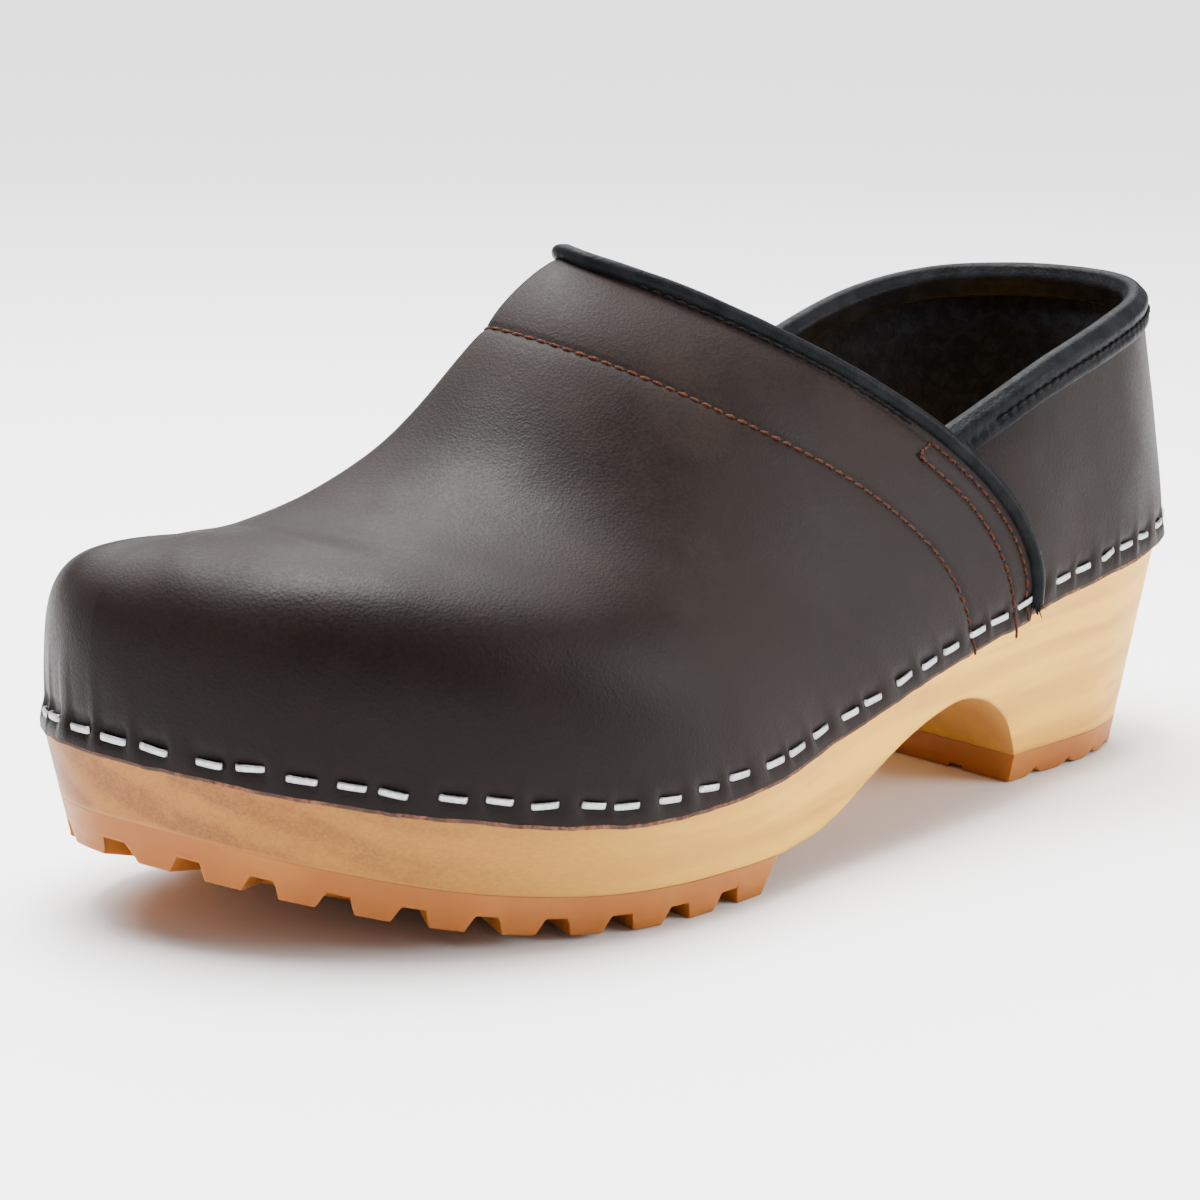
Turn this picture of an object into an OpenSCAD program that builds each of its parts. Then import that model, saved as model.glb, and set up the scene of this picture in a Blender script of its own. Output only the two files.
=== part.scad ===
// Closed-back clog for the left foot: a leather upper stapled to a wooden base on lugged rubber soles.
// +X points to the toe, +Y to the outer side of the foot and +Z up. The ground is z = 0.

/* [Size] */
// Length of the upper's lower edge, from the back of the heel to the toe
sole_length = 264; // [236:1:300]
// Width across the ball of the foot
ball_width = 99; // [88:1:112]
// Height of the throat, the highest point of the vamp
throat_height = 115.5; // [106:0.5:128]

/* [Wood] */
// Height of the wooden rim above the upper's lower edge
rim_rise = 11; // [9:0.5:14]
// Depth of the footbed below the rim
footbed_depth = 6; // [3:0.5:8]
// Lean of the wooden sides compared with the reference
side_lean = 1; // [0.6:0.05:1.2]

/* [Rubber] */
// Thickness of the heel sole
heel_rubber = 6.2; // [5:0.2:8]
// Depth of the grooves between the lugs
groove_depth = 3.2; // [2:0.2:4.4]
// Distance from one edge lug to the next
lug_pitch = 12.9; // [11:0.1:18]

/* [Leather] */
// Thickness of the outer leather
leather_t = 1.8; // [1.4:0.1:2.4]
// Thickness of the linings
lining_t = 0.8; // [0.6:0.1:1.2]
// Thickness of the toe puff and the heel counter
stiffener_t = 1.2; // [0.8:0.1:1.6]
// Thickness of the foam pad under the instep
pad_t = 3; // [2:0.5:4]
// Diameter of the black piping along the throat
piping_d = 3.4; // [2.6:0.2:4.4]
// Width of the black binding on the outside of the collar
binding_w = 7; // [5:0.5:9]

/* [Fasteners] */
// Width of a staple across its crown
staple_w = 4.9; // [4.1:0.2:6.5]
// Thickness of the staple wire
staple_wire = 1.3; // [0.9:0.1:1.6]
// How far a staple's legs reach in
staple_leg = 8; // [6:0.5:10]
// Distance from one staple to the next
staple_pitch = 8.6; // [8:0.2:12]
// Height of the staples above the upper's lower edge
staple_rise = 4.4; // [4:0.2:6]
// Length of one stitch
stitch_len = 2.6; // [2:0.1:3.4]
// Thickness of the sewing thread
thread_d = 0.7; // [0.5:0.1:1]

/* [Hidden] */

k = [sole_length / 264, ball_width / 99, throat_height / 115.5]; // scale from the reference size
origin = [132.5 * k.x, 0.25 * k.y, 0]; // middle of the clog in the heel-based frame
gap = 0.1;                             // space between layers that lie on each other

// Lower edge of the upper at the reference size: heel, outer side, toe, inner side.
edge_points = [
    [0, 0, 49], [6.5, 24, 47.5], [28, 34.5, 45.2], [63, 38, 40.6], [98, 41, 35.2], [133, 46, 27.7],
    [163, 50.3, 22.4], [193, 48.3, 21.4], [224, 36.8, 25.8], [247.5, 18.2, 30.5], [261, -3, 34],
    [264, -22, 35.3], [254, -40.5, 33.4], [231, -49.2, 29.8], [197, -48.8, 27], [161, -41, 28.5],
    [125, -33.5, 34.2], [90, -32, 41], [60, -33.5, 45.5], [29, -31, 48.2], [7, -20, 49.2]];
edge_n = len(edge_points);

// Ridge of the vamp from the throat to the middle of the toe box, where the toe's sections meet, with the
// slope of the leather across it: [x, y, z, slope along y].
ridge_points = [[157.5, -8, 115.3, -0.08], [176.5, -9, 102.1, -0.02], [197, -10.7, 82.1, 0],
                [212, -12.3, 73.2, 0.04], [223, -13.9, 69.9, 0.1], [230, -15.2, 69.6, 0.13],
                [234, -16.2, 69.5, 0.13], [235, -16.5, 69.5, 0.1]];
// Sections of the vamp: [place on the edge, rise off the edge, reach off the ridge in plan].
vamp_sections = [
    [3.3, [-6.8, 5, 40], [3.3, 19.4]], [3.86, [4.8, 3.6, 31.5], [0, 34]], [5, [11.7, 3.2, 34], [0, 38.5]],
    [6, [10.5, 4, 38.3], [0, 40.6]], [7, [7, 5, 40.6], [1, 40.5]], [8, [4.7, 5.2, 39.4], [6.3, 35]],
    [9, [4.4, 3.1, 36], [16.2, 23.6]], [10, [3.5, 0.7, 33], [23.7, 8.2]], [11, [2, -0.7, 32], [25.3, -7.2]],
    [12, [1.2, -2.6, 33.7], [19.2, -20.3]], [13, [1.5, -3.1, 32.3], [5.6, -24.8]],
    [14, [4, -2.7, 35.8], [0, -25]], [15, [7.7, -2.2, 42], [0, -23.2]], [16, [9.6, -2.1, 46.7], [-1, -18.8]],
    [17, [7, -3.1, 43], [2.4, -11]], [17.75, [3.2, -5.6, 44.6], [2.4, -13.2]]];
vamp_last = len(vamp_sections) - 1;

// Collar from its front end on the outer side, round the heel, to its front end on the inner side.
collar_points = [[91, 32, 77.6], [68.5, 36, 88.5], [46, 35, 95], [27, 29.5, 98.8], [12.3, 17, 100.3],
                 [7, 0, 100.5],
                 [12.3, -17, 100.3], [27, -29.5, 99], [47, -34.5, 95.5], [70, -34.6, 89], [96, -30.8, 80]];
// Place on the lower edge under each collar point, from the heel forward.
collar_edge = [0, 1, 2, 2.62, 3.3, 3.8];
collar_last = 5;    // the back of the heel among the collar points
collar_bulge = 0.6; // how far the quarter's wall swells out at mid height

// Underside of the wood, seen from the side, heel to toe.
forefoot_profile = [[150, 6.8], [160, 7.1], [180, 7.4], [200, 8.5], [220, 11.4], [240, 16.3], [262, 22.8],
                    [272, 26]];
arch_profile = [[62, 6.2], [64.3, 10], [67.8, 14.8], [73, 19], [79.5, 22.3], [88, 24], [97, 22.8],
                [106, 20.4], [114, 17.4], [122, 13.9], [130, 10.2], [138, 7.7]];
// How far the wooden sides lean in for each millimetre down, at each point of the lower edge.
lean_points = [0.21, 0.18, 0.15, 0.19, 0.16, 0.13, 0.12, 0.13, 0.18, 0.25, 0.27, 0.23, 0.21, 0.2, 0.14, 0.12,
               0.13, 0.15, 0.19, 0.15, 0.18];
breast_x = 62;          // front of the heel
forefoot_end = 152;     // back of the forefoot sole
tread_t = 7.4;          // thickness of the forefoot sole under the ball
stand_out = 2.7;        // how far the wood stands out again below the leather at the corner of the toe

// ---- curves ----
function lerp(a, b, f) = a + (b - a) * f;
function clamp(v, lo, hi) = min(max(v, lo), hi);
function smooth(a, b, v) = let(f = clamp((v - a) / (b - a), 0, 1)) f * f * (3 - 2 * f);
function unit(v) = v / norm(v);
function range(a, b, n) = [for (i = [0:n]) lerp(a, b, i / n)];
// Catmull-Rom curve through four points.
function blend4(p, q, r, s, f) =
    0.5 * (2 * q + (r - p) * f + (2 * p - 5 * q + 4 * r - s) * f * f + (3 * q - p - 3 * r + s) * f * f * f);
// Point on a closed curve, and on an open one.
function closed_at(list, u) = let(n = len(list), i = floor(u), f = u - i)
    blend4(list[(i - 1 + 2 * n) % n], list[(i + 2 * n) % n], list[(i + 1 + 2 * n) % n],
           list[(i + 2 + 2 * n) % n], f);
function open_at(list, u) = let(n = len(list) - 1, i = clamp(floor(u), 0, n - 1), f = u - i)
    blend4(i > 0 ? list[i - 1] : 2 * list[0] - list[1], list[i], list[i + 1],
           i + 2 <= n ? list[i + 2] : 2 * list[n] - list[n - 1], f);
function scaled(v) = [v.x * k.x, v.y * k.y, v.z * k.z];

// ---- lower edge of the upper ----
function edge(u) = scaled(closed_at(edge_points, u));
function edge_normal(u) = let(d = edge(u + 0.01) - edge(u - 0.01)) unit([-d.y, d.x, 0]);
function edge_inset(u, inset) = edge(u) - edge_normal(u) * inset;
function lean(u) = closed_at(lean_points, u) * side_lean;
// Inset of the wooden sides below the leather, which meets a ledge in the wood at the corner of the toe.
function wood_inset(u) = let(v = u < edge_n / 2 + 3.4 ? u : 0)
    leather_t + gap - stand_out * smooth(9.8, 11.3, v) * (1 - smooth(12.3, 13.8, v));

// ---- vamp: t = 0 on the lower edge, t = 1 on the ridge; s runs from the outer side round the toe ----
function seam_lift(u) = let(v = min(u, edge_n - u)) (leather_t + gap) * (1 - smooth(4, 5.3, v));
function bezier(a, b, c, d, t) =
    let(w = 1 - t) w * w * w * a + 3 * w * w * t * b + 3 * w * t * t * c + t * t * t * d;
// Slopes of the leather at the ridge, along x and along y.
function ridge_slopes(r) =
    let(gy = open_at(ridge_points, r)[3],
        d = open_at(ridge_points, r + 0.05) - open_at(ridge_points, r - 0.05))
    [(d.z - gy * d.y) / d.x, gy];
function vamp_outer(s, t) =
    let(row = open_at([for (r = vamp_sections) concat([r[0]], r[1], r[2])], s),
        u = row[0],
        low = edge(u) + edge_normal(u) * seam_lift(u),
        r = min(s, vamp_last - s),
        top = scaled(open_at(ridge_points, r)),
        rise = scaled([row[1], row[2], row[3]]),
        reach = scaled([row[4], row[5], ridge_slopes(r) * [row[4], row[5]]]))
    bezier(low, low + rise, top + reach, top, t);
// Near the end of the ridge the sections crowd together, and the normal comes from the ridge.
function vamp_normal(s, t) =
    t > 0.995 ? ridge_normal(from_end(s)) :
    let(ds = vamp_outer(min(s + 0.02, vamp_last), t) - vamp_outer(max(s - 0.02, 0), t),
        dt = vamp_outer(s, t + 0.004) - vamp_outer(s, max(t - 0.004, 0)),
        crowded = smooth(0.75, 0.96, t) * smooth(6.3, 7.1, from_end(s)))
    unit(lerp(unit(cross(dt, ds)), ridge_normal(from_end(s)), crowded));
function ridge_normal(r) = let(g = ridge_slopes(r)) unit([-g.x * k.z / k.x, -g.y * k.z / k.y, 1]);
function vamp_at(s, t, depth) = vamp_outer(s, t) - vamp_normal(s, t) * depth;
function from_end(s) = min(s, vamp_last - s);
// Thickness of the foam and of the stiffener between the leather and the lining.
function pad_depth(s) = pad_t * smooth(0.05, 0.35, from_end(s)) * (1 - smooth(0.6, 1, from_end(s)));
function puff_depth(s, t) = stiffener_t * smooth(4.4, 5.2, from_end(s)) * smooth(0.1, 0.2, t);
function pad_fade(t) = smooth(0.42, 0.56, t);
function filler(s, t) = pad_depth(s) * pad_fade(t) + puff_depth(s, t);

// ---- quarter: v = 0 at the outer end of the collar, round the heel to 2 * collar_last at the inner end ----
tuck = 0.35; // how far the quarter's ends run on under the vamp
function quarter_outer(v, t) =
    let(place = open_at(collar_edge, abs(v - collar_last)),
        u = v < collar_last ? place : edge_n - place,
        low = edge(u),
        swell = edge_normal(u) * collar_bulge * 4 * t * (1 - t))
    lerp(low, scaled(open_at(collar_points, v)), t) + swell;
function quarter_normal(v, t) =
    let(dv = quarter_outer(v + 0.02, t) - quarter_outer(v - 0.02, t),
        dt = quarter_outer(v, min(t + 0.01, 1)) - quarter_outer(v, max(t - 0.01, 0)))
    unit(cross(dv, dt));
function quarter_at(v, t, depth) = quarter_outer(v, t) - quarter_normal(v, t) * depth;
function counter_depth(v, t) =
    stiffener_t * (1 - smooth(2.4, 3.6, abs(v - collar_last))) * smooth(0.12, 0.25, t)
    * (1 - smooth(0.75, 0.9, t));

// ---- solids made from grids of points ----
// A sheet between an outer and an inner grid of points. With seam, it closes on itself along the ridge.
module sheet(outer, inner, seam = false) {
    n = len(outer) - 1;
    m = len(outer[0]) - 1;
    first_inner = (n + 1) * (m + 1);
    function at(i, j) = i * (m + 1) + j;
    points = concat([for (row = outer) each row], [for (row = inner) each row]);
    outside = [for (i = [0:n - 1], j = [0:m - 1]) each
        [[at(i, j), at(i, j + 1), at(i + 1, j + 1)], [at(i, j), at(i + 1, j + 1), at(i + 1, j)]]];
    inside = [for (f = outside) [f[0] + first_inner, f[2] + first_inner, f[1] + first_inner]];
    rim = concat([for (i = [0:n]) at(i, 0)],
                 seam ? [for (j = [1:m]) at(n, j)] : [for (j = [1:m]) at(n, j)],
                 seam ? [] : [for (i = [n - 1:-1:0]) at(i, m)],
                 [for (j = [m - 1:-1:1]) at(0, j)]);
    count = len(rim);
    wall = [for (i = [0:count - 1]) let(a = rim[i], b = rim[(i + 1) % count]) each
        [[a, b, b + first_inner], [a, b + first_inner, a + first_inner]]];
    polyhedron(points, concat(outside, inside, wall));
}

// A solid skinned over a row of closed loops; flat end loops close it.
module skin(loops, capped = false) {
    n = len(loops) - 1;
    m = len(loops[0]);
    sides = [for (i = [0:n - 1], j = [0:m - 1]) let(a = i * m + j, b = i * m + (j + 1) % m) each
        [[a, b, b + m], [a, b + m, a + m]]];
    ends = capped ? [[for (j = [m - 1:-1:0]) j], [for (j = [0:m - 1]) n * m + j]] : [];
    polyhedron([for (loop = loops) each loop], concat(sides, ends));
}

// ---- wood ----
function profile_z(list, x) = lookup(x, list) * k.z;
forefoot_curve = [for (i = range(0, len(forefoot_profile) - 1, 42)) open_at(forefoot_profile, i)];
arch_curve = [for (i = range(0, len(arch_profile) - 1, 33)) open_at(arch_profile, i)];
function wood_bottom(x) = profile_z(forefoot_curve, x / k.x);
// Loop across the base at one place: up the outer side, over the footbed and down the inner side.
function base_loop(w) =
    let(side = function(u) let(e = edge(u))
            [[edge_inset(u, wood_inset(u) + lean(u) * e.z), 0],
             [edge_inset(u, wood_inset(u)), e.z - 0.35],
             [edge_inset(u, leather_t + gap), e.z - 0.2],
             [edge_inset(u, leather_t + lining_t + 2 * gap), e.z + 0.6],
             [edge_inset(u, leather_t + lining_t + 2 * gap), e.z + rim_rise - 0.8],
             [edge_inset(u, leather_t + lining_t + 2 * gap + 0.8), e.z + rim_rise]],
        outer_side = [for (p = side(w)) [p[0].x, p[0].y, p[1]]],
        inner_side = [for (p = side(edge_n - w)) [p[0].x, p[0].y, p[1]]],
        a = outer_side[5], b = inner_side[5],
        dish = footbed_depth * smooth(0, 40, norm(a - b)),
        footbed = [for (f = [0.08, 0.2, 0.35, 0.5, 0.65, 0.8, 0.92])
                   lerp(a, b, f) - [0, 0, dish * smooth(0, 0.3, f < 0.5 ? f : 1 - f)]])
    concat(outer_side, footbed, [for (i = [5:-1:0]) inner_side[i]]);

// Side view of the wood: flat heel, round arch, ramp and rising forefoot.
function base_profile() =
    concat([[-20, heel_rubber], [breast_x * k.x, heel_rubber]],
           [for (p = arch_curve) if (p.y * k.z > heel_rubber) [p.x * k.x, p.y * k.z]],
           [for (p = concat(forefoot_curve, [[290, 30], [290, 90], [-20, 90]])) [p.x * k.x, p.y * k.z]]);

module side_prism(points) rotate([90, 0, 0]) linear_extrude(160, center = true) polygon(points);

module wood_base() color("burlywood") intersection() {
    skin([for (w = range(0, edge_n / 2, 84)) base_loop(w)]);
    side_prism(base_profile());
}

// ---- rubber ----
function sole_outline(inset, rows = 84) = [for (i = [0:rows - 1]) let(u = edge_n * i / rows, e = edge(u),
    bottom = e.x > breast_x * k.x + 20 ? wood_bottom(e.x) : heel_rubber,
    p = edge_inset(u, wood_inset(u) + lean(u) * (e.z - bottom) + inset)) [p.x, p.y]];
// Distance along the rim of the sole, against the place on the edge.
function sole_rim(u) = let(p = edge_inset(u, leather_t + lean(u) * edge(u).z)) [p.x, p.y];
edge_length = [for (i = 0, sum = 0; i <= edge_n * 8;
                    sum = sum + norm(sole_rim((i + 1) / 8) - sole_rim(i / 8)), i = i + 1) [sum, i / 8]];
function place_at(length) = lookup(length, edge_length);
function length_at(u) = lookup(u, [for (p = edge_length) [p[1], p[0]]]);

// A groove in the edge at place u, cut down from height z. From the depth flare_from on, its wall towards
// the toe slants out by flare for each millimetre down.
module edge_groove(u, z, width, reach, inset, flare = 0.1, flare_from = 0) {
    base = edge_inset(u, inset);
    n = edge_normal(u);
    toe_way = u < edge_n / 2 ? 1 : -1;
    low = -z - 2;
    translate([base.x, base.y, z]) rotate([0, 0, atan2(n.y, n.x)]) rotate([90, 0, -90])
        linear_extrude(reach, center = true) scale([toe_way, 1])
            polygon([[-width / 2, 0], [width / 2, 0], [width / 2, -flare_from],
                     [width / 2 - flare * (low + flare_from), low], [-width / 2 - 0.05, low]]);
}

forefoot_from = length_at(6.09);
forefoot_to = length_at(15.2);
forefoot_lugs = round((forefoot_to - forefoot_from) / lug_pitch);
// The forefoot sole down to a height above its own tread, following the wood.
module forefoot_slab(above) intersection() {
    linear_extrude(60) polygon(sole_outline(0.2));
    side_prism(concat(
        [for (p = forefoot_curve) if (p.x >= forefoot_end) [p.x * k.x, p.y * k.z - gap]],
        [for (i = [len(forefoot_curve) - 1:-1:0]) let(p = forefoot_curve[i]) if (p.x >= forefoot_end + 4)
            [p.x * k.x, max(p.y * k.z - tread_t, 0) + above]]));
}

module forefoot_outsole() color("peru") union() {
    forefoot_slab(groove_depth);
    difference() {
        forefoot_slab(0);
        for (i = [0:forefoot_lugs]) {
            u = place_at(lerp(forefoot_from, forefoot_to, i / forefoot_lugs));
            edge_groove(u, tread_top(edge(u).x), 4.5, 26, 9, 0.6, tread_t - groove_depth - 1);
        }
        // The channel inside the edge lugs, leaving short bars across the middle.
        for (x = [forefoot_end + 12:lug_pitch:sole_length - 36])
            translate([x * k.x, -3 * k.y, tread_top(x * k.x)]) rotate([90, 0, 90])
                linear_extrude(4.5, center = true) polygon([[-17, 0], [17, 0], [19, -30], [-19, -30]]);
    }
}
function tread_top(x) = wood_bottom(x) - 1;

module heel_outsole() color("peru") difference() {
    linear_extrude(heel_rubber - gap) intersection() {
        polygon(sole_outline(0.2));
        translate([-20, -80]) square([20 + breast_x * k.x, 160]);
    }
    for (side = [-1, 1], i = [0:3]) {
        u = side > 0 ? lerp(1.72, 2.7, i / 3) : edge_n - lerp(1.72, 2.7, i / 3);
        edge_groove(u, groove_depth / 2, 1.6, 22, 12);
    }
    for (y = [-14, 14])
        translate([breast_x * k.x - 5, y * k.y, 0]) cube([14, 4, 0.7 * groove_depth], center = true);
}

// ---- upper ----
vamp_s = range(0, vamp_last, 48);
vamp_t = [0, 0.07, 0.16, 0.27, 0.39, 0.5, 0.6, 0.7, 0.79, 0.87, 0.94, 1];
module vamp() color("#40322e") sheet([for (s = vamp_s) [for (t = vamp_t) vamp_at(s, t, 0)]],
                                     [for (s = vamp_s) [for (t = vamp_t) vamp_at(s, t, leather_t)]],
                                     seam = true);

lining_tt = [0.05, 0.14, 0.25, 0.38, 0.5, 0.62, 0.74, 0.85, 0.93, 1];
// The lining starts in front of the quarter's tucked ends, and runs to the throat above them.
function lining_start(t) = 0.04 + 1.1 * (1 - smooth(0.15, 0.55, t));
function lining_row(f, under) = [for (t = lining_tt)
    let(s = lerp(lining_start(t), vamp_last - lining_start(t), f))
    vamp_at(s, t, leather_t + gap + filler(s, t) + (under ? lining_t : 0))];
module vamp_lining() color("#7d5348")
    sheet([for (f = range(0, 1, 44)) lining_row(f, false)], [for (f = range(0, 1, 44)) lining_row(f, true)],
          seam = true);

module toe_puff() color("#c9bda6") {
    s = range(4.6, vamp_last - 4.6, 22);
    t = [0.14, 0.25, 0.4, 0.55, 0.7, 0.82, 0.92, 1];
    sheet([for (a = s) [for (b = t) vamp_at(a, b, leather_t + gap / 2)]],
          [for (a = s) [for (b = t) vamp_at(a, b, leather_t + gap / 2 + max(puff_depth(a, b), 0.05))]],
          seam = true);
}

pad_t_up = [0.44, 0.49, 0.55, 0.62, 0.7, 0.79, 0.87, 0.94, 1];
pad_s = [0.1, 0.2, 0.35, 0.5, 0.65, 0.8, 0.95];
// Points across the instep from the outer side to the inner at one place along it.
function pad_row(s, under) = let(m = len(pad_t_up) - 1) [for (i = [0:2 * m])
    let(t = pad_t_up[i <= m ? i : 2 * m - i], a = i <= m ? s : vamp_last - s)
    vamp_at(a, t, leather_t + gap / 2 + (under ? max(pad_depth(s) * pad_fade(t), 0.05) : 0))];
module instep_pad() color("#e4dcb8")
    sheet([for (s = pad_s) pad_row(s, false)], [for (s = pad_s) pad_row(s, true)]);

quarter_v = range(-tuck, 2 * collar_last + tuck, 42);
quarter_t = [0, 0.12, 0.28, 0.45, 0.62, 0.78, 0.9, 1];
module quarter() color("#40322e")
    sheet([for (v = quarter_v) [for (t = quarter_t) quarter_at(v, t, 0)]],
          [for (v = quarter_v) [for (t = quarter_t) quarter_at(v, t, leather_t)]]);

lining_v = range(-tuck + 0.04, 2 * collar_last + tuck - 0.04, 38);
quarter_lining_t = [0.08, 0.2, 0.35, 0.5, 0.65, 0.8, 0.9, 1];
module quarter_lining() color("#1b1a1c") sheet(
    [for (v = lining_v) [for (t = quarter_lining_t) quarter_at(v, t, leather_t + gap + counter_depth(v, t))]],
    [for (v = lining_v) [for (t = quarter_lining_t)
        quarter_at(v, t, leather_t + gap + counter_depth(v, t) + lining_t)]]);

module heel_counter() color("#c9bda6") {
    v = range(1.6, 2 * collar_last - 1.6, 18);
    t = [0.15, 0.25, 0.4, 0.6, 0.75, 0.85];
    sheet([for (a = v) [for (b = t) quarter_at(a, b, leather_t + gap / 2)]],
          [for (a = v) [for (b = t) quarter_at(a, b, leather_t + gap / 2 + max(counter_depth(a, b), 0.05))]]);
}

// ---- piping and binding ----
// Throat line from the outer lower end over the ridge to the inner lower end, g = 0 to 2.
function throat(g) = g <= 1 ? vamp_outer(0, g) : vamp_outer(vamp_last, 2 - g);
function throat_out(g) = g <= 1 ? vamp_normal(0, g) : vamp_normal(vamp_last, 2 - g);
// The piping wraps the edge of the leather; where the two sides meet on the ridge it draws in a little.
function piping_reach(g) = piping_d * lerp(0.35, -0.2, smooth(0.7, 1, min(g, 2 - g)));
piping_g = concat(range(0.05, 0.9, 16), [0.95, 1, 1.05], range(1.1, 1.95, 16));
module throat_piping() color("#222222") skin([for (g = piping_g)
    let(along = unit(throat(min(g + 0.01, 2)) - throat(max(g - 0.01, 0))),
        out = throat_out(g), back = unit(cross(along, out)),
        c = throat(g) - out * 0.5 + back * piping_reach(g))
    [for (a = [0:36:324]) c + out * cos(a) * piping_d * 0.62 + back * sin(a) * piping_d / 2]], capped = true);

// Binding folded over the collar: down the outside, round the top and down the inside.
collar_wall = leather_t + lining_t + 2 * gap;
binding_in = 5;
function binding_loop(v) =
    let(top = quarter_at(v, 1, 0), out = quarter_normal(v, 1),
        down = unit(quarter_at(v, 0.9, 0) - top), mid = top - out * collar_wall / 2,
        at = function(o, d) mid + out * o + down * d)
    [at(collar_wall / 2 + gap, binding_w - 1), at(collar_wall / 2 + gap + 0.9, binding_w - 1),
     at(collar_wall / 2 + gap + 1, 3), at(collar_wall / 2 + gap + 1.2, 1), at(1.6, -1.4), at(0, -2),
     at(-1.6, -1.4), at(-collar_wall / 2 - gap - 1.2, 1), at(-collar_wall / 2 - gap - 1, 3),
     at(-collar_wall / 2 - gap - 0.9, binding_in), at(-collar_wall / 2 - gap, binding_in),
     at(-collar_wall / 2 - gap, -0.2), at(collar_wall / 2 + gap, -0.2)];
binding_v = range(-0.15, 2 * collar_last + 0.15, 48);
module collar_binding() color("#2b2b2d") skin([for (v = binding_v) binding_loop(v)], capped = true);

// ---- staples and stitching ----
// Puts children at a point, with their x along one direction and their z along another.
module stand(p, x, z) {
    y = cross(z, x);
    multmatrix([[x.x, y.x, z.x, p.x], [x.y, y.y, z.y, p.y], [x.z, y.z, z.z, p.z]]) children();
}
module staple() {
    translate([-staple_w / 2, -staple_wire / 2, 0]) cube([staple_w, staple_wire, staple_wire * 0.8]);
    for (x = [-staple_w / 2, staple_w / 2 - staple_wire * 0.8])
        translate([x, -staple_wire / 2, -staple_leg])
            cube([staple_wire * 0.8, staple_wire, staple_leg + 0.01]);
}
// Places along a curve, a given pitch apart, with the unevenness of work done by hand.
function spread(point, a, b, pitch, uneven = 0) =
    let(n = 80, p = [for (i = [0:n]) point(lerp(a, b, i / n))],
        sums = [for (i = 0, d = 0; i <= n; d = d + (i < n ? norm(p[i + 1] - p[i]) : 0), i = i + 1)
                [d, lerp(a, b, i / n)]],
        count = round(sums[n][0] / pitch))
    [for (i = [0:count]) let(wander = i > 0 && i < count ? uneven * (sin(i * 137) + 0.6 * sin(i * 61)) : 0)
        lookup(sums[n][0] * i / count + wander, sums)];
module staple_row(point, normal, from, to) for (s = spread(point, from, to, staple_pitch, 0.8)) {
    n = normal(s);
    along = unit(point(s + 0.01) - point(s - 0.01));
    x = unit(along - n * (n * along));
    stand(point(s) - n * 0.15, x, n) staple();
}
vamp_staple_t = staple_rise / 120;
quarter_staple_t = staple_rise / 55;
module vamp_staples() color("silver")
    staple_row(function(s) vamp_outer(s, vamp_staple_t),
               function(s) vamp_normal(s, vamp_staple_t), 0.12, 14.88);
module quarter_staples() color("silver")
    staple_row(function(v) quarter_outer(v, quarter_staple_t),
               function(v) quarter_normal(v, quarter_staple_t), 1.22, 8.78);

// Rows of stitches along a path of points with outward directions.
module stitches(path, outs) for (i = [0:len(path) - 2]) {
    along = path[i + 1] - path[i];
    out = outs[i];
    x = unit(along - out * (along * out));
    length = norm(along) * 0.72;
    stand(path[i] + out * (thread_d / 2 + 0.02) + along * 0.14, x, out)
        rotate([0, 90, 0]) cylinder(d = thread_d, h = length, $fn = 16);
}
module vamp_row(s_of_t, from, to) {
    places = spread(function(t) vamp_outer(s_of_t(t), t), from, to, stitch_len);
    stitches([for (t = places) vamp_outer(s_of_t(t), t)], [for (t = places) vamp_normal(s_of_t(t), t)]);
}
module instep_stitching() color("#8a4b2c") {
    row = function(t) 1 - 0.05 * smooth(0.05, 0.25, t) * (1 - smooth(0.35, 0.6, t));
    vamp_row(row, 0.03, 1);
    vamp_row(function(t) vamp_last - row(t), 0.03, 1);
}
seam_top = 0.36; // how far up the vamp the side seams run
module seam_stitching(inner) {
    side = function(s) inner ? vamp_last - s : s;
    vamp_row(function(t) side(0.09), 0.04, seam_top);
    vamp_row(function(t) side(0.36 - 0.055 * smooth(0.08, 0.3, t)), 0.04, seam_top);
    places = range(0.1, 0.29, 4);
    stitches([for (s = places) vamp_outer(side(s), seam_top)],
             [for (s = places) vamp_normal(side(s), seam_top)]);
}
module outer_seam_stitching() color("#8a4b2c") seam_stitching(false);
module inner_seam_stitching() color("#8a4b2c") seam_stitching(true);
module piping_stitching() color("#1c1c1c") {
    vamp_row(function(t) 0.05, seam_top + 0.04, 1);
    vamp_row(function(t) vamp_last - 0.05, seam_top + 0.04, 1);
}
module collar_stitching() color("#1c1c1c") {
    point = function(v) quarter_at(v, 1, -gap - 1) + unit(quarter_at(v, 0.9, 0) - quarter_at(v, 1, 0)) * 3.2;
    places = spread(point, 0.5, 2 * collar_last - 0.5, stitch_len);
    stitches([for (v = places) point(v)], [for (v = places) quarter_normal(v, 1)]);
}

module placed() translate(-origin) children();
placed() wood_base();
placed() forefoot_outsole();
placed() heel_outsole();
placed() vamp();
placed() quarter();
placed() vamp_lining();
placed() quarter_lining();
placed() toe_puff();
placed() heel_counter();
placed() instep_pad();
placed() throat_piping();
placed() collar_binding();
placed() vamp_staples();
placed() quarter_staples();
placed() instep_stitching();
placed() outer_seam_stitching();
placed() inner_seam_stitching();
placed() collar_stitching();
placed() piping_stitching();
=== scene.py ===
import math

import bmesh
import bpy
import numpy as np
from mathutils import Matrix, Vector, noise


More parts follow.
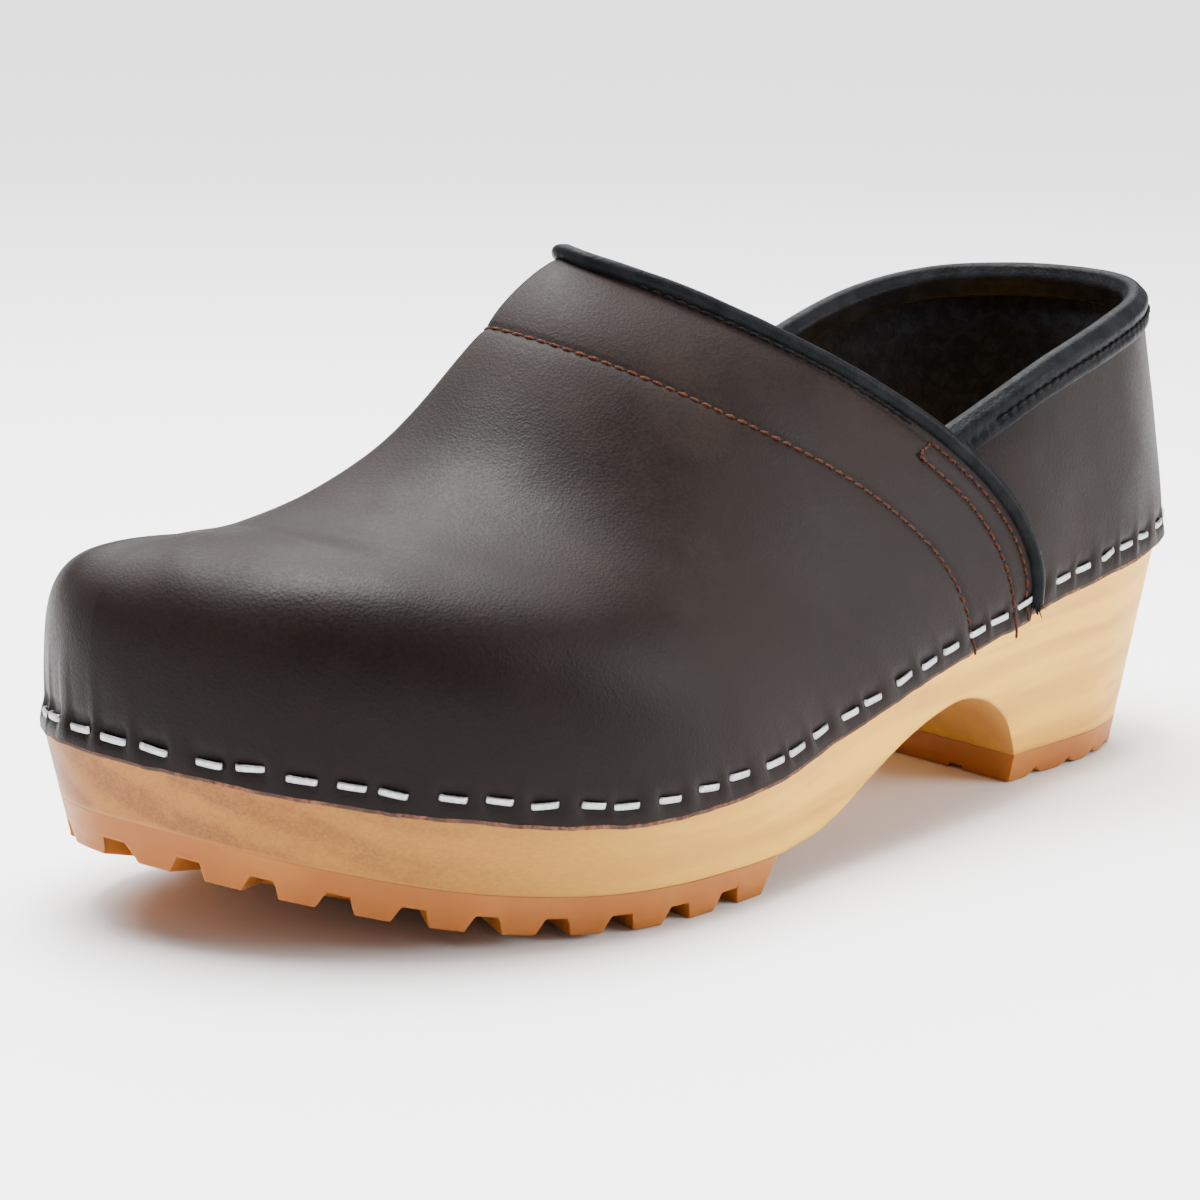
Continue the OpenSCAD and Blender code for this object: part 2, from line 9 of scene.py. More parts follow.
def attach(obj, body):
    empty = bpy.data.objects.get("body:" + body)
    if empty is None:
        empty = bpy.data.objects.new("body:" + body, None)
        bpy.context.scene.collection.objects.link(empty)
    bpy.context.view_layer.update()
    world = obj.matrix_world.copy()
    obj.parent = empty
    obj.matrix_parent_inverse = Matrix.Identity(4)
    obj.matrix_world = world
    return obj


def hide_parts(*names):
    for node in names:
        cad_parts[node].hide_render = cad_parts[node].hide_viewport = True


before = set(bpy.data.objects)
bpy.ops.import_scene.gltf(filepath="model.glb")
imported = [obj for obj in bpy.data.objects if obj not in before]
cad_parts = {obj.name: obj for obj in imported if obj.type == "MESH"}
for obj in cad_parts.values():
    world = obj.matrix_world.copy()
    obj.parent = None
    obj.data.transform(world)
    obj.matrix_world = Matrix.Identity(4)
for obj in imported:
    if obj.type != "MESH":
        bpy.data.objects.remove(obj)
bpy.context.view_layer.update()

# ---------------------------------------------------------------- sizes, in mm from the back of the heel
ORIGIN = np.array([132.5, 0.25, 0.0])
RIM_RISE, DISH = 11, 6
HEEL_RUBBER, GROOVE, LUG_PITCH, TREAD = 6.2, 3.2, 12.9, 7.4
LEATHER, LINING, STIFF, PAD, GAP = 1.8, 0.8, 1.2, 3.0, 0.1
PIPING = 3.4
STAPLE_W, STAPLE_WIRE, STAPLE_LEG, STAPLE_PITCH, STAPLE_RISE = 4.9, 1.3, 8, 8.6, 4.4
STITCH, SEAM_TOP = 2.6, 0.36
NEAR_ROW, FAR_ROW, BLACK_ROW, INSTEP_ROW = 0.09, 0.36, 0.05, 1.0  # rows of stitches, as places s on the vamp
PIPING_FROM, PIPING_TO = 0.03, 1.97
GROOVE_FROM, GROOVE_TO = 6.09, 15.2
BREAST, FORE_END, STAND_OUT = 62, 152, 2.7

EDGE = np.array([
    (0, 0, 49), (6.5, 24, 47.5), (28, 34.5, 45.2), (63, 38, 40.6), (98, 41, 35.2), (133, 46, 27.7),
    (163, 50.3, 22.4), (193, 48.3, 21.4), (224, 36.8, 25.8), (247.5, 18.2, 30.5), (261, -3, 34),
    (264, -22, 35.3), (254, -40.5, 33.4), (231, -49.2, 29.8), (197, -48.8, 27), (161, -41, 28.5),
    (125, -33.5, 34.2), (90, -32, 41), (60, -33.5, 45.5), (29, -31, 48.2), (7, -20, 49.2)], float)
N = len(EDGE)
LEAN = np.array([0.21, 0.18, 0.15, 0.19, 0.16, 0.13, 0.12, 0.13, 0.18, 0.25, 0.27, 0.23, 0.21, 0.2,
                 0.14, 0.12, 0.13, 0.15, 0.19, 0.15, 0.18])
RIDGE = np.array([(157.5, -8, 115.3, -0.08), (176.5, -9, 102.1, -0.02), (197, -10.7, 82.1, 0),
                  (212, -12.3, 73.2, 0.04), (223, -13.9, 69.9, 0.1), (230, -15.2, 69.6, 0.13),
                  (234, -16.2, 69.5, 0.13), (235, -16.5, 69.5, 0.1)], float)
SECTIONS = np.array([
    (3.3, -6.8, 5, 40, 3.3, 19.4), (3.86, 4.8, 3.6, 31.5, 0, 34), (5, 11.7, 3.2, 34, 0, 38.5),
    (6, 10.5, 4, 38.3, 0, 40.6), (7, 7, 5, 40.6, 1, 40.5), (8, 4.7, 5.2, 39.4, 6.3, 35),
    (9, 4.4, 3.1, 36, 16.2, 23.6), (10, 3.5, 0.7, 33, 23.7, 8.2), (11, 2, -0.7, 32, 25.3, -7.2),
    (12, 1.2, -2.6, 33.7, 19.2, -20.3), (13, 1.5, -3.1, 32.3, 5.6, -24.8), (14, 4, -2.7, 35.8, 0, -25),
    (15, 7.7, -2.2, 42, 0, -23.2), (16, 9.6, -2.1, 46.7, -1, -18.8), (17, 7, -3.1, 43, 2.4, -11),
    (17.75, 3.2, -5.6, 44.6, 2.4, -13.2)], float)
LAST = len(SECTIONS) - 1
COLLAR = np.array([(91, 32, 77.6), (68.5, 36, 88.5), (46, 35, 95), (27, 29.5, 98.8), (12.3, 17, 100.3),
                   (7, 0, 100.5), (12.3, -17, 100.3), (27, -29.5, 99), (47, -34.5, 95.5), (70, -34.6, 89),
                   (96, -30.8, 80)], float)
COLLAR_EDGE = np.array([0, 1, 2, 2.62, 3.3, 3.8])
HEEL = 5
FOREFOOT = np.array([(150, 6.8), (160, 7.1), (180, 7.4), (200, 8.5), (220, 11.4), (240, 16.3),
                     (262, 22.8), (272, 26)], float)
ARCH = np.array([(62, 6.2), (64.3, 10), (67.8, 14.8), (73, 19), (79.5, 22.3), (88, 24), (97, 22.8),
                 (106, 20.4), (114, 17.4), (122, 13.9), (130, 10.2), (138, 7.7)], float)


# ---------------------------------------------------------------- curves
def smooth(a, b, v):
    f = np.clip((np.asarray(v, float) - a) / (b - a), 0, 1)
    return f * f * (3 - 2 * f)


def unit(v):
    return v / np.maximum(np.linalg.norm(v, axis=-1, keepdims=True), 1e-9)


def blend4(p, q, r, s, f):
    """A smooth curve from q to r, at the share f, with p and s as the points before and after."""
    return 0.5 * (2 * q + (r - p) * f + (2 * p - 5 * q + 4 * r - s) * f * f
                  + (3 * q - p - 3 * r + s) * f ** 3)


def closed_at(rows, u):
    u = np.asarray(u, float)
    i = np.floor(u).astype(int)
    f = u - i
    if rows.ndim > 1:
        f = f[..., None]
    n = len(rows)
    return blend4(rows[(i - 1) % n], rows[i % n], rows[(i + 1) % n], rows[(i + 2) % n], f)


def open_at(rows, u):
    u = np.asarray(u, float)
    i = np.clip(np.floor(u), 0, len(rows) - 2).astype(int)
    f = u - i
    if rows.ndim > 1:
        f = f[..., None]
    e = np.concatenate([[2 * rows[0] - rows[1]], rows, [2 * rows[-1] - rows[-2]]])
    return blend4(e[i], e[i + 1], e[i + 2], e[i + 3], f)


def edge(u):
    return closed_at(EDGE, u)


def edge_normal(u):
    d = edge(np.asarray(u) + 0.01) - edge(np.asarray(u) - 0.01)
    return unit(np.stack([-d[..., 1], d[..., 0], 0 * d[..., 0]], -1))


def lean(u):
    return closed_at(LEAN, u)


def corner(u):
    """1 at the inner corner of the toe, where the wood meets the leather flush, and 0 elsewhere."""
    return smooth(9.8, 11.3, u) * (1 - smooth(12.3, 13.8, u))


def wood_inset(u):
    return LEATHER + GAP - STAND_OUT * corner(u)


def wall_at(u, z, inset):
    """A point on the leaning wall of the base, at height z."""
    e = edge(u)
    p = e - edge_normal(u) * np.asarray(inset + lean(u) * (e[..., 2] - z))[..., None]
    p[..., 2] = z
    return p


def profile(rows, count):
    return open_at(rows, np.linspace(0, len(rows) - 1, count + 1))


FORE_CURVE, ARCH_CURVE = profile(FOREFOOT, 84), profile(ARCH, 66)
UNDER = np.concatenate([[(-20, HEEL_RUBBER), (BREAST, HEEL_RUBBER)],
                        ARCH_CURVE[ARCH_CURVE[:, 1] > HEEL_RUBBER + 0.01], FORE_CURVE, [(290, 30)]])


def wood_bottom(x):
    return np.interp(x, UNDER[:, 0], UNDER[:, 1])


def seam_lift(u):
    return (LEATHER + GAP) * (1 - smooth(4, 5.3, np.minimum(u, N - u)))


def ridge(r):
    p = open_at(RIDGE, r)
    d = open_at(RIDGE, r + 0.05) - open_at(RIDGE, r - 0.05)
    gy = p[..., 3]
    return p[..., :3], (d[..., 2] - gy * d[..., 1]) / d[..., 0], gy


def vamp_outer(s, t):
    s, t = np.broadcast_arrays(np.asarray(s, float), np.asarray(t, float))
    row = open_at(SECTIONS, s)
    u = row[..., 0]
    low = edge(u) + edge_normal(u) * seam_lift(u)[..., None]
    top, gx, gy = ridge(np.minimum(s, LAST - s))
    reach = np.stack([row[..., 4], row[..., 5], gx * row[..., 4] + gy * row[..., 5]], -1)
    t = t[..., None]
    w = 1 - t
    return w ** 3 * low + 3 * w * w * t * (low + row[..., 1:4]) + 3 * w * t * t * (top + reach) + t ** 3 * top


def vamp_normal(s, t):
    s, t = np.broadcast_arrays(np.asarray(s, float), np.asarray(t, float))
    ds = vamp_outer(np.minimum(s + 0.02, LAST), t) - vamp_outer(np.maximum(s - 0.02, 0), t)
    dt = vamp_outer(s, t + 0.004) - vamp_outer(s, np.maximum(t - 0.004, 0))
    _, gx, gy = ridge(np.minimum(s, LAST - s))
    top = unit(np.stack([-gx, -gy, 1 + 0 * gx], -1))
    crowded = (smooth(0.75, 0.96, t) * smooth(6.3, 7.1, np.minimum(s, LAST - s)))[..., None]
    skew = unit(np.cross(dt, ds))
    return np.where((t > 0.995)[..., None], top, unit(skew + (top - skew) * crowded))


def vamp_at(s, t, depth):
    return vamp_outer(s, t) - vamp_normal(s, t) * np.asarray(depth, float)[..., None]


def from_end(s):
    return np.minimum(s, LAST - s)


def pad_depth(s):
    return PAD * smooth(0.05, 0.35, from_end(s)) * (1 - smooth(0.6, 1, from_end(s)))


def puff_depth(s, t):
    return STIFF * smooth(4.4, 5.2, from_end(s)) * smooth(0.1, 0.2, t)


def filler(s, t):
    return pad_depth(s) * smooth(0.42, 0.56, t) + puff_depth(s, t)


def quarter_outer(v, t):
    v, t = np.broadcast_arrays(np.asarray(v, float), np.asarray(t, float))
    place = open_at(COLLAR_EDGE, np.abs(v - HEEL))
    u = np.where(v < HEEL, place, N - place)
    low, top, t = edge(u), open_at(COLLAR, v), t[..., None]
    return low + (top - low) * t + edge_normal(u) * 0.6 * 4 * t * (1 - t)


def quarter_normal(v, t):
    t = np.asarray(t, float)
    dv = quarter_outer(v + 0.02, t) - quarter_outer(v - 0.02, t)
    dt = quarter_outer(v, t + 0.01) - quarter_outer(v, t - 0.01)
    return unit(np.cross(dv, dt))


def quarter_at(v, t, depth):
    return quarter_outer(v, t) - quarter_normal(v, t) * np.asarray(depth, float)[..., None]


def counter_depth(v, t):
    side = 1 - smooth(2.4, 3.6, np.abs(v - HEEL))
    return STIFF * side * smooth(0.12, 0.25, t) * (1 - smooth(0.75, 0.9, t))


def lengths(p):
    return np.concatenate([[0], np.cumsum(np.linalg.norm(np.diff(p, axis=0), axis=1))])


def spread(point, a, b, pitch, uneven=0.0):
    """Places along a curve, a given pitch apart, with the unevenness of work done by hand."""
    w = np.linspace(a, b, 81)
    sums = lengths(point(w))
    i = np.arange(int(round(sums[-1] / pitch)) + 1)
    wander = uneven * (np.sin(np.radians(i * 137)) + 0.6 * np.sin(np.radians(i * 61)))
    wander[[0, -1]] = 0
    return np.interp(sums[-1] * i / (len(i) - 1) + wander, sums, w)


def rough(p, size, seed=0):
    """Smooth noise between about -1 and 1 at points in mm."""
    q = p.reshape(-1, 3) / size + 13.7 * seed + 0.31
    return np.array([noise.noise(Vector(r)) for r in q.tolist()]).reshape(p.shape[:-1])


# ---------------------------------------------------------------- meshes
def grid(n, m, wrap=False, start=0):
    """Quads of an n by m grid of points; with wrap, the rows close on themselves."""
    i, j = np.meshgrid(np.arange(n if wrap else n - 1), np.arange(m - 1), indexing="ij")
    a, b = i * m + j, ((i + 1) % n) * m + j
    return np.stack([a, b, b + 1, a + 1], -1).reshape(-1, 4) + start


def make(name, parts, materials, node, sharp=40, weld=0.0):
    """One piece, standing for a CAD node, from parts: (points in mm, [(faces, material number), ...])."""
    points, faces, numbers, start = [], [], [], 0
    for p, groups in parts:
        p = np.asarray(p, float).reshape(-1, 3)
        points.append(p)
        for rows, number in groups:
            faces += (rows + start).tolist()
            numbers += [number] * len(rows)
        start += len(p)
    mesh = bpy.data.meshes.new(name)
    mesh.from_pydata(((np.concatenate(points) - ORIGIN) / 1000).tolist(), [], faces)
    mesh.polygons.foreach_set("material_index", numbers)
    bm = bmesh.new()
    bm.from_mesh(mesh)
    if weld:
        bmesh.ops.remove_doubles(bm, verts=bm.verts, dist=weld / 1000)
    bmesh.ops.recalc_face_normals(bm, faces=bm.faces)
    bm.to_mesh(mesh)
    bm.free()
    mesh.polygons.foreach_set("use_smooth", [True] * len(mesh.polygons))
    mesh.set_sharp_from_angle(angle=math.radians(sharp))
    for m in materials:
        mesh.materials.append(m)
    piece = bpy.data.objects.new(name, mesh)
    bpy.context.collection.objects.link(piece)
    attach(piece, "root")
    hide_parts(node)
    return piece


def shell(outer, inner, seam=False, bulge=0.5, steps=5, rim=2, inside=1, skirt=0):
    """A sheet between two grids of points, with a rounded edge all round. With seam it closes on its own
    ridge. The lowest rows of the outer grid, as many as skirt says, show the cut edge too."""
    n, m = outer.shape[:2]
    ring = [(i, 0) for i in range(n)] + [(n - 1, j) for j in range(1, m)]
    ring += [] if seam else [(i, m - 1) for i in range(n - 2, -1, -1)]
    ring += [(0, j) for j in range(m - 2, 0, -1)]
    ri, rj = np.array(ring).T
    row_end, column_end = (rj == 0) | ((rj == m - 1) & (not seam)), (ri == 0) | (ri == n - 1)
    away = unit(outer[ri, rj] - outer[ri, np.clip(rj, 1, m - 2)]) * row_end[:, None]
    away = away + unit(outer[ri, rj] - outer[np.clip(ri, 1, n - 2), rj]) * column_end[:, None]
    away = unit(away)
    a, b = outer[ri, rj], inner[ri, rj]
    mid = (a + b) / 2
    layers = [mid + (a - mid) * math.cos(q) + away * bulge * math.sin(q)
              for q in np.linspace(0, math.pi, steps + 1)[1:-1]]
    size, count = n * m, len(ring)
    rings = [ri * m + rj] + [2 * size + k * count + np.arange(count) for k in range(len(layers))]
    rings.append(size + ri * m + rj)
    rim_faces = np.concatenate([np.stack([p, np.roll(p, -1), np.roll(q, -1), q], -1)
                                for p, q in zip(rings, rings[1:])])
    face_rows = grid(n, m).reshape(n - 1, m - 1, 4)
    return (np.concatenate([outer.reshape(-1, 3), inner.reshape(-1, 3)] + layers),
            [(face_rows[:, skirt:].reshape(-1, 4), 0), (face_rows[:, :skirt].reshape(-1, 4), rim),
             (grid(n, m)[:, ::-1] + size, inside), (rim_faces, rim)])


def tube(sections):
    """A closed skin over loops of points, capped at both ends."""
    k, m = sections.shape[:2]
    i = np.arange(k - 1)[:, None] * m + np.arange(m)[None, :]
    j = np.arange(k - 1)[:, None] * m + (np.arange(m)[None, :] + 1) % m
    sides = np.stack([i, i + m, j + m, j], -1).reshape(-1, 4)
    ends = np.array([list(range(m))[::-1], list(range((k - 1) * m, k * m))])
    return sections.reshape(-1, 3), [(sides, 0), (ends, 0)]


# ---------------------------------------------------------------- materials
class Shader:
    """A material on one Principled shader, with short names for the nodes used here."""

    def __init__(self, name, **values):
        self.material = bpy.data.materials.new(name)
        self.material.use_nodes = True
        self.tree = self.material.node_tree
        self.tree.nodes.clear()
        out = self.add("ShaderNodeOutputMaterial")
        self.bsdf = self.add("ShaderNodeBsdfPrincipled")
        self.tree.links.new(self.bsdf.outputs[0], out.inputs[0])
        for key, value in values.items():
            self.bsdf.inputs[key.replace("_", " ")].default_value = value
        self.place = self.add("ShaderNodeTexCoord").outputs["Object"]

    def add(self, kind, **settings):
        node = self.tree.nodes.new(kind)
        for key, value in settings.items():
            setattr(node, key, value)
        return node

    def put(self, value, socket):
        if isinstance(value, bpy.types.NodeSocket):
            self.tree.links.new(value, socket)
        else:
            socket.default_value = value

    def scaled(self, scale, turn=(0, 0, 0)):
        node = self.add("ShaderNodeMapping")
        self.put(self.place, node.inputs["Vector"])
        node.inputs["Scale"].default_value = scale
        node.inputs["Rotation"].default_value = turn
        return node.outputs[0]

    def noise(self, scale, detail=2.0, roughness=0.5, distortion=0.0, where=None):
        node = self.add("ShaderNodeTexNoise")
        self.put(where or self.place, node.inputs["Vector"])
        for key, value in (("Scale", scale), ("Detail", detail), ("Roughness", roughness),
                           ("Distortion", distortion)):
            node.inputs[key].default_value = value
        return node.outputs["Fac"]

    def cells(self, scale):
        node = self.add("ShaderNodeTexVoronoi", feature="F1")
        self.put(self.place, node.inputs["Vector"])
        node.inputs["Scale"].default_value = scale
        return node.outputs["Distance"]

    def bands(self, scale, distortion, detail, where):
        node = self.add("ShaderNodeTexWave", bands_direction="Z")
        self.put(where, node.inputs["Vector"])
        for key, value in (("Scale", scale), ("Distortion", distortion), ("Detail", detail),
                           ("Detail Scale", 1.2)):
            node.inputs[key].default_value = value
        return node.outputs["Fac"]

    def ramp(self, value, low, high, to_low=0.0, to_high=1.0):
        node = self.add("ShaderNodeMapRange", interpolation_type="SMOOTHSTEP")
        self.put(value, node.inputs["Value"])
        for key, number in (("From Min", low), ("From Max", high), ("To Min", to_low), ("To Max", to_high)):
            node.inputs[key].default_value = number
        return node.outputs["Result"]

    def mix(self, factor, a, b):
        node = self.add("ShaderNodeMix", data_type="RGBA", blend_type="MIX")
        self.put(factor, node.inputs[0])
        for value, socket in ((a, node.inputs[6]), (b, node.inputs[7])):
            self.put((*value, 1) if isinstance(value, tuple) and len(value) == 3 else value, socket)
        return node.outputs[2]

    def math(self, kind, a, b):
        node = self.add("ShaderNodeMath", operation=kind)
        self.put(a, node.inputs[0])
        self.put(b, node.inputs[1])
        return node.outputs[0]

    def axis(self, name):
        node = self.add("ShaderNodeSeparateXYZ")
        self.put(self.place, node.inputs[0])
        return node.outputs[name]

    def bump(self, height, strength, distance, under=None):
        node = self.add("ShaderNodeBump")
        self.put(height, node.inputs["Height"])
        node.inputs["Strength"].default_value = strength
        node.inputs["Distance"].default_value = distance
        if under:
            self.put(under, node.inputs["Normal"])
        return node.outputs[0]

    def finish(self, colour=None, roughness=None, normal=None):
        for value, key in ((colour, "Base Color"), (roughness, "Roughness"), (normal, "Normal")):
            if value is not None:
                self.put((*value, 1) if isinstance(value, tuple) else value, self.bsdf.inputs[key])
        return self.material


def brown_leather():
    s = Shader("brown_leather", Specular_IOR_Level=0.085, Sheen_Weight=0.03, Sheen_Roughness=0.35,
               Sheen_Tint=(0.9, 0.86, 0.84, 1))
    cloud = s.ramp(s.noise(26, 3, 0.55), 0.36, 0.66)
    patch = s.ramp(s.noise(75, 4, 0.6, 0.4), 0.45, 0.75)
    pores = s.noise(1500, 3, 0.6)
    colour = s.mix(cloud, (0.0072, 0.0042, 0.0034), (0.012, 0.0073, 0.006))
    colour = s.mix(s.math("MULTIPLY", patch, 0.35), colour, (0.019, 0.0105, 0.008))
    colour = s.mix(s.ramp(pores, 0.35, 0.62, 0.35, 0.0), colour, (0.004, 0.0027, 0.0023))
    # Darker towards the toe: painted shade on the toe front.
    colour = s.mix(s.ramp(s.axis("X"), 0.0, 0.11, 0.0, 0.5), colour, (0.003, 0.0013, 0.001))
    rough_map = s.math("ADD", s.ramp(cloud, 0, 1, 0.4, 0.5), s.ramp(pores, 0.3, 0.7, 0.0, 0.1))
    soft = s.bump(s.noise(160, 3, 0.5), 0.12, 0.0004)
    fine = s.bump(s.math("ADD", s.noise(1100, 4, 0.65), s.cells(1700)), 0.16, 0.00025, soft)
    return s.finish(colour, rough_map, fine)


def raw_edge():
    s = Shader("leather_cut_edge", Specular_IOR_Level=0.2)
    fibre = s.noise(900, 5, 0.7)
    colour = s.mix(s.ramp(fibre, 0.35, 0.65), (0.045, 0.018, 0.012), (0.20, 0.085, 0.05))
    colour = s.mix(s.ramp(s.noise(140, 3), 0.4, 0.62), colour, (0.05, 0.028, 0.022))
    return s.finish(colour, 0.85, s.bump(fibre, 0.6, 0.0005))


def lining_leather():
    s = Shader("lining_leather", Specular_IOR_Level=0.3, Sheen_Weight=0.1, Sheen_Roughness=0.6)
    colour = s.mix(s.ramp(s.noise(60, 4), 0.35, 0.65), (0.30, 0.15, 0.115), (0.40, 0.21, 0.16))
    colour = s.mix(s.ramp(s.cells(700), 0.0, 0.5, 0.4, 0.0), colour, (0.2, 0.09, 0.065))
    rough_map = s.ramp(s.noise(400), 0.3, 0.7, 0.62, 0.78)
    return s.finish(colour, rough_map, s.bump(s.noise(1200, 4, 0.6), 0.3, 0.0003))


def black_lining():
    s = Shader("black_lining", Specular_IOR_Level=0.08, Sheen_Weight=0.16, Sheen_Roughness=0.4,
               Sheen_Tint=(0.7, 0.75, 1.0, 1))
    tufts = s.noise(330, 5, 0.7, 0.6)
    colour = s.mix(s.ramp(tufts, 0.4, 0.66), (0.002, 0.0026, 0.0045), (0.006, 0.0078, 0.0135))
    return s.finish(colour, 0.9, s.bump(tufts, 0.5, 0.001, s.bump(s.noise(1500, 3), 0.4, 0.0004)))


def black_trim():
    s = Shader("black_trim", Specular_IOR_Level=0.05)
    grain = s.math("ADD", s.noise(1300, 4, 0.6), s.cells(1500))
    colour = s.mix(s.ramp(s.noise(220, 3), 0.35, 0.7), (0.0045, 0.0048, 0.0056), (0.0085, 0.009, 0.0102))
    return s.finish(colour, s.ramp(s.noise(500), 0.3, 0.7, 0.36, 0.5), s.bump(grain, 0.22, 0.0003))


def alder():
    s = Shader("alder_wood", Specular_IOR_Level=0.14)
    rings = s.bands(9, 2.6, 2.5, s.scaled((0.55, 5.2, 3.4), (0.35, 0.06, 0.05)))
    streaks = s.noise(1, 4, 0.62, 0.2, s.scaled((7, 210, 210), (0.2, 0.05, 0.03)))
    fibres = s.noise(1, 3, 0.6, 0.0, s.scaled((60, 1900, 1900), (0.2, 0.05, 0.03)))
    # Darker and browner towards the toe: painted shade on the toe end of the wood.
    toe = s.ramp(s.axis("X"), -0.012, 0.125)
    colour = s.mix(toe, (0.76, 0.41, 0.04), (0.19, 0.066, 0.02))
    colour = s.mix(s.ramp(rings, 0.25, 0.95, 0.0, 0.34), colour, (0.42, 0.175, 0.028))
    colour = s.mix(s.ramp(streaks, 0.42, 0.72, 0.0, 0.38), colour, (0.38, 0.155, 0.026))
    colour = s.mix(s.ramp(fibres, 0.35, 0.65, 0.0, 0.08), colour, (0.80, 0.48, 0.10))
    smudge = s.noise(1, 3, 0.55, 1.2, s.scaled((22, 60, 70), (0.3, 0.1, 0.1)))
    dark = s.math("MULTIPLY", s.ramp(smudge, 0.55, 0.75, 0.0, 0.4), s.ramp(s.axis("X"), 0.05, 0.11))
    colour = s.mix(dark, colour, (0.10, 0.052, 0.026))
    # Faces turned downwards, such as under the arch, are mixed towards a dark, dull brown: painted shade.
    shade_by_facing = s.add("ShaderNodeSeparateXYZ")
    s.put(s.add("ShaderNodeNewGeometry").outputs["Normal"], shade_by_facing.inputs[0])
    colour = s.mix(s.ramp(shade_by_facing.outputs["Z"], -0.55, -0.36, 0.75, 0.0), colour, (0.36, 0.15, 0.05))
    rough_map = s.ramp(fibres, 0.3, 0.7, 0.42, 0.54)
    return s.finish(colour, rough_map, s.bump(s.math("ADD", fibres, streaks), 0.06, 0.0002))


def gum_rubber():
    s = Shader("gum_rubber", Specular_IOR_Level=0.2, Subsurface_Weight=0.5, Subsurface_Scale=0.004,
               Subsurface_Radius=(1.0, 0.45, 0.18))
    cloud = s.noise(45, 3, 0.5)
    colour = s.mix(s.ramp(cloud, 0.35, 0.65), (0.31, 0.10, 0.016), (0.37, 0.132, 0.022))
    colour = s.mix(s.ramp(s.noise(700, 2), 0.62, 0.8, 0.0, 0.35), colour, (0.27, 0.085, 0.018))
    return s.finish(colour, s.ramp(s.noise(300), 0.3, 0.7, 0.42, 0.56), s.bump(s.noise(650, 3), 0.1, 0.0003))


def staple_steel():
    s = Shader("staple_steel", Metallic=1.0)
    scratch = s.noise(1400, 3, 0.6)
    colour = s.mix(s.ramp(scratch, 0.35, 0.7), (0.42, 0.425, 0.435), (0.28, 0.285, 0.29))
    return s.finish(colour, s.ramp(s.noise(600), 0.3, 0.7, 0.34, 0.52), s.bump(scratch, 0.15, 0.0002))


def thread(name, dark, light):
    s = Shader(name, Specular_IOR_Level=0.12)
    fibre = s.noise(2600, 3, 0.6)
    return s.finish(s.mix(s.ramp(fibre, 0.35, 0.65), dark, light), 0.7, s.bump(fibre, 0.4, 0.0002))


# Near-black pits at the needle and staple holes: painted shade for the dark inside of each hole.
def painted_hole_shade():
    s = Shader("painted_hole_shade", Specular_IOR_Level=0.05)
    colour = s.mix(s.ramp(s.noise(1500), 0.3, 0.7), (0.004, 0.003, 0.003), (0.010, 0.007, 0.006))
    return s.finish(colour, 0.95)


def foam():
    s = Shader("foam", Specular_IOR_Level=0.2)
    holes = s.cells(1400)
    colour = s.mix(s.ramp(holes, 0.1, 0.6), (0.5, 0.44, 0.28), (0.78, 0.72, 0.52))
    return s.finish(colour, 0.9, s.bump(holes, 0.7, 0.0006))


def fibreboard():
    s = Shader("stiffener", Specular_IOR_Level=0.2)
    fibre = s.noise(1, 4, 0.7, 0.0, s.scaled((500, 1400, 900)))
    colour = s.mix(s.ramp(fibre, 0.35, 0.65), (0.40, 0.35, 0.26), (0.62, 0.57, 0.46))
    return s.finish(colour, 0.85, s.bump(fibre, 0.5, 0.0003))


LEATHER_M, EDGE_M, LINING_M, BLACK_M = brown_leather(), raw_edge(), lining_leather(), black_lining()
TRIM_M, WOOD_M, GUM_M, STEEL_M = black_trim(), alder(), gum_rubber(), staple_steel()
BROWN_T = thread("brown_thread", (0.030, 0.0085, 0.0038), (0.076, 0.023, 0.010))
BLACK_T = thread("black_thread", (0.0015, 0.0015, 0.0015), (0.005, 0.005, 0.005))
HOLE_SHADE_M, FOAM_M, FIBRE_M = painted_hole_shade(), foam(), fibreboard()

# ---------------------------------------------------------------- vamp and quarter
STAPLE_T, STAPLE_TQ = STAPLE_RISE / 120, STAPLE_RISE / 55
vamp_staples = spread(lambda s: vamp_outer(s, STAPLE_T), 0.12, 14.88, STAPLE_PITCH, 0.8)
quarter_staples = spread(lambda v: quarter_outer(v, STAPLE_TQ), 1.22, 8.78, STAPLE_PITCH, 0.8)


def ruler(point, a, b):
    """Length along a curve as a function of its parameter."""
    w = np.linspace(a, b, 600)
    sums = lengths(point(w))
    return lambda v: np.interp(v, w, sums)


vamp_ruler = ruler(lambda s: vamp_outer(s, STAPLE_T), 0, LAST)
quarter_ruler = ruler(lambda v: quarter_outer(v, STAPLE_TQ), -0.4, 10.4)


def off_nearest(value, marks):
    i = np.clip(np.searchsorted(marks, value), 1, len(marks) - 1)
    lo, hi = value - marks[i - 1], value - marks[i]
    return np.where(np.abs(lo) < np.abs(hi), lo, hi)


def edge_relief(off, height, pucker):
    """Leather pressed in under each staple, swelling between them, with creases running up."""
    under = 1 - smooth(1.9, 4.0, np.abs(off))
    relief = -0.6 * under * np.exp(-((height - STAPLE_RISE) / 1.9) ** 2)
    relief += 0.22 * (1 - under) * np.exp(-((height - 3.5) / 3.5) ** 2)
    return relief + pucker * (0.45 - under) * np.exp(-((height - 8.5) / 5.5) ** 2)


def furrow(distance):
    """The dip that a row of stitches pulls into the leather, across the row."""
    return -0.3 * np.exp(-(distance / 0.75) ** 2) - 0.22 * np.exp(-(distance / 3.2) ** 2)


def instep_row(t):
    return INSTEP_ROW - 0.05 * smooth(0.05, 0.25, t) * (1 - smooth(0.35, 0.6, t))


def seam_row(t):
    return FAR_ROW - 0.055 * smooth(0.08, 0.3, t)


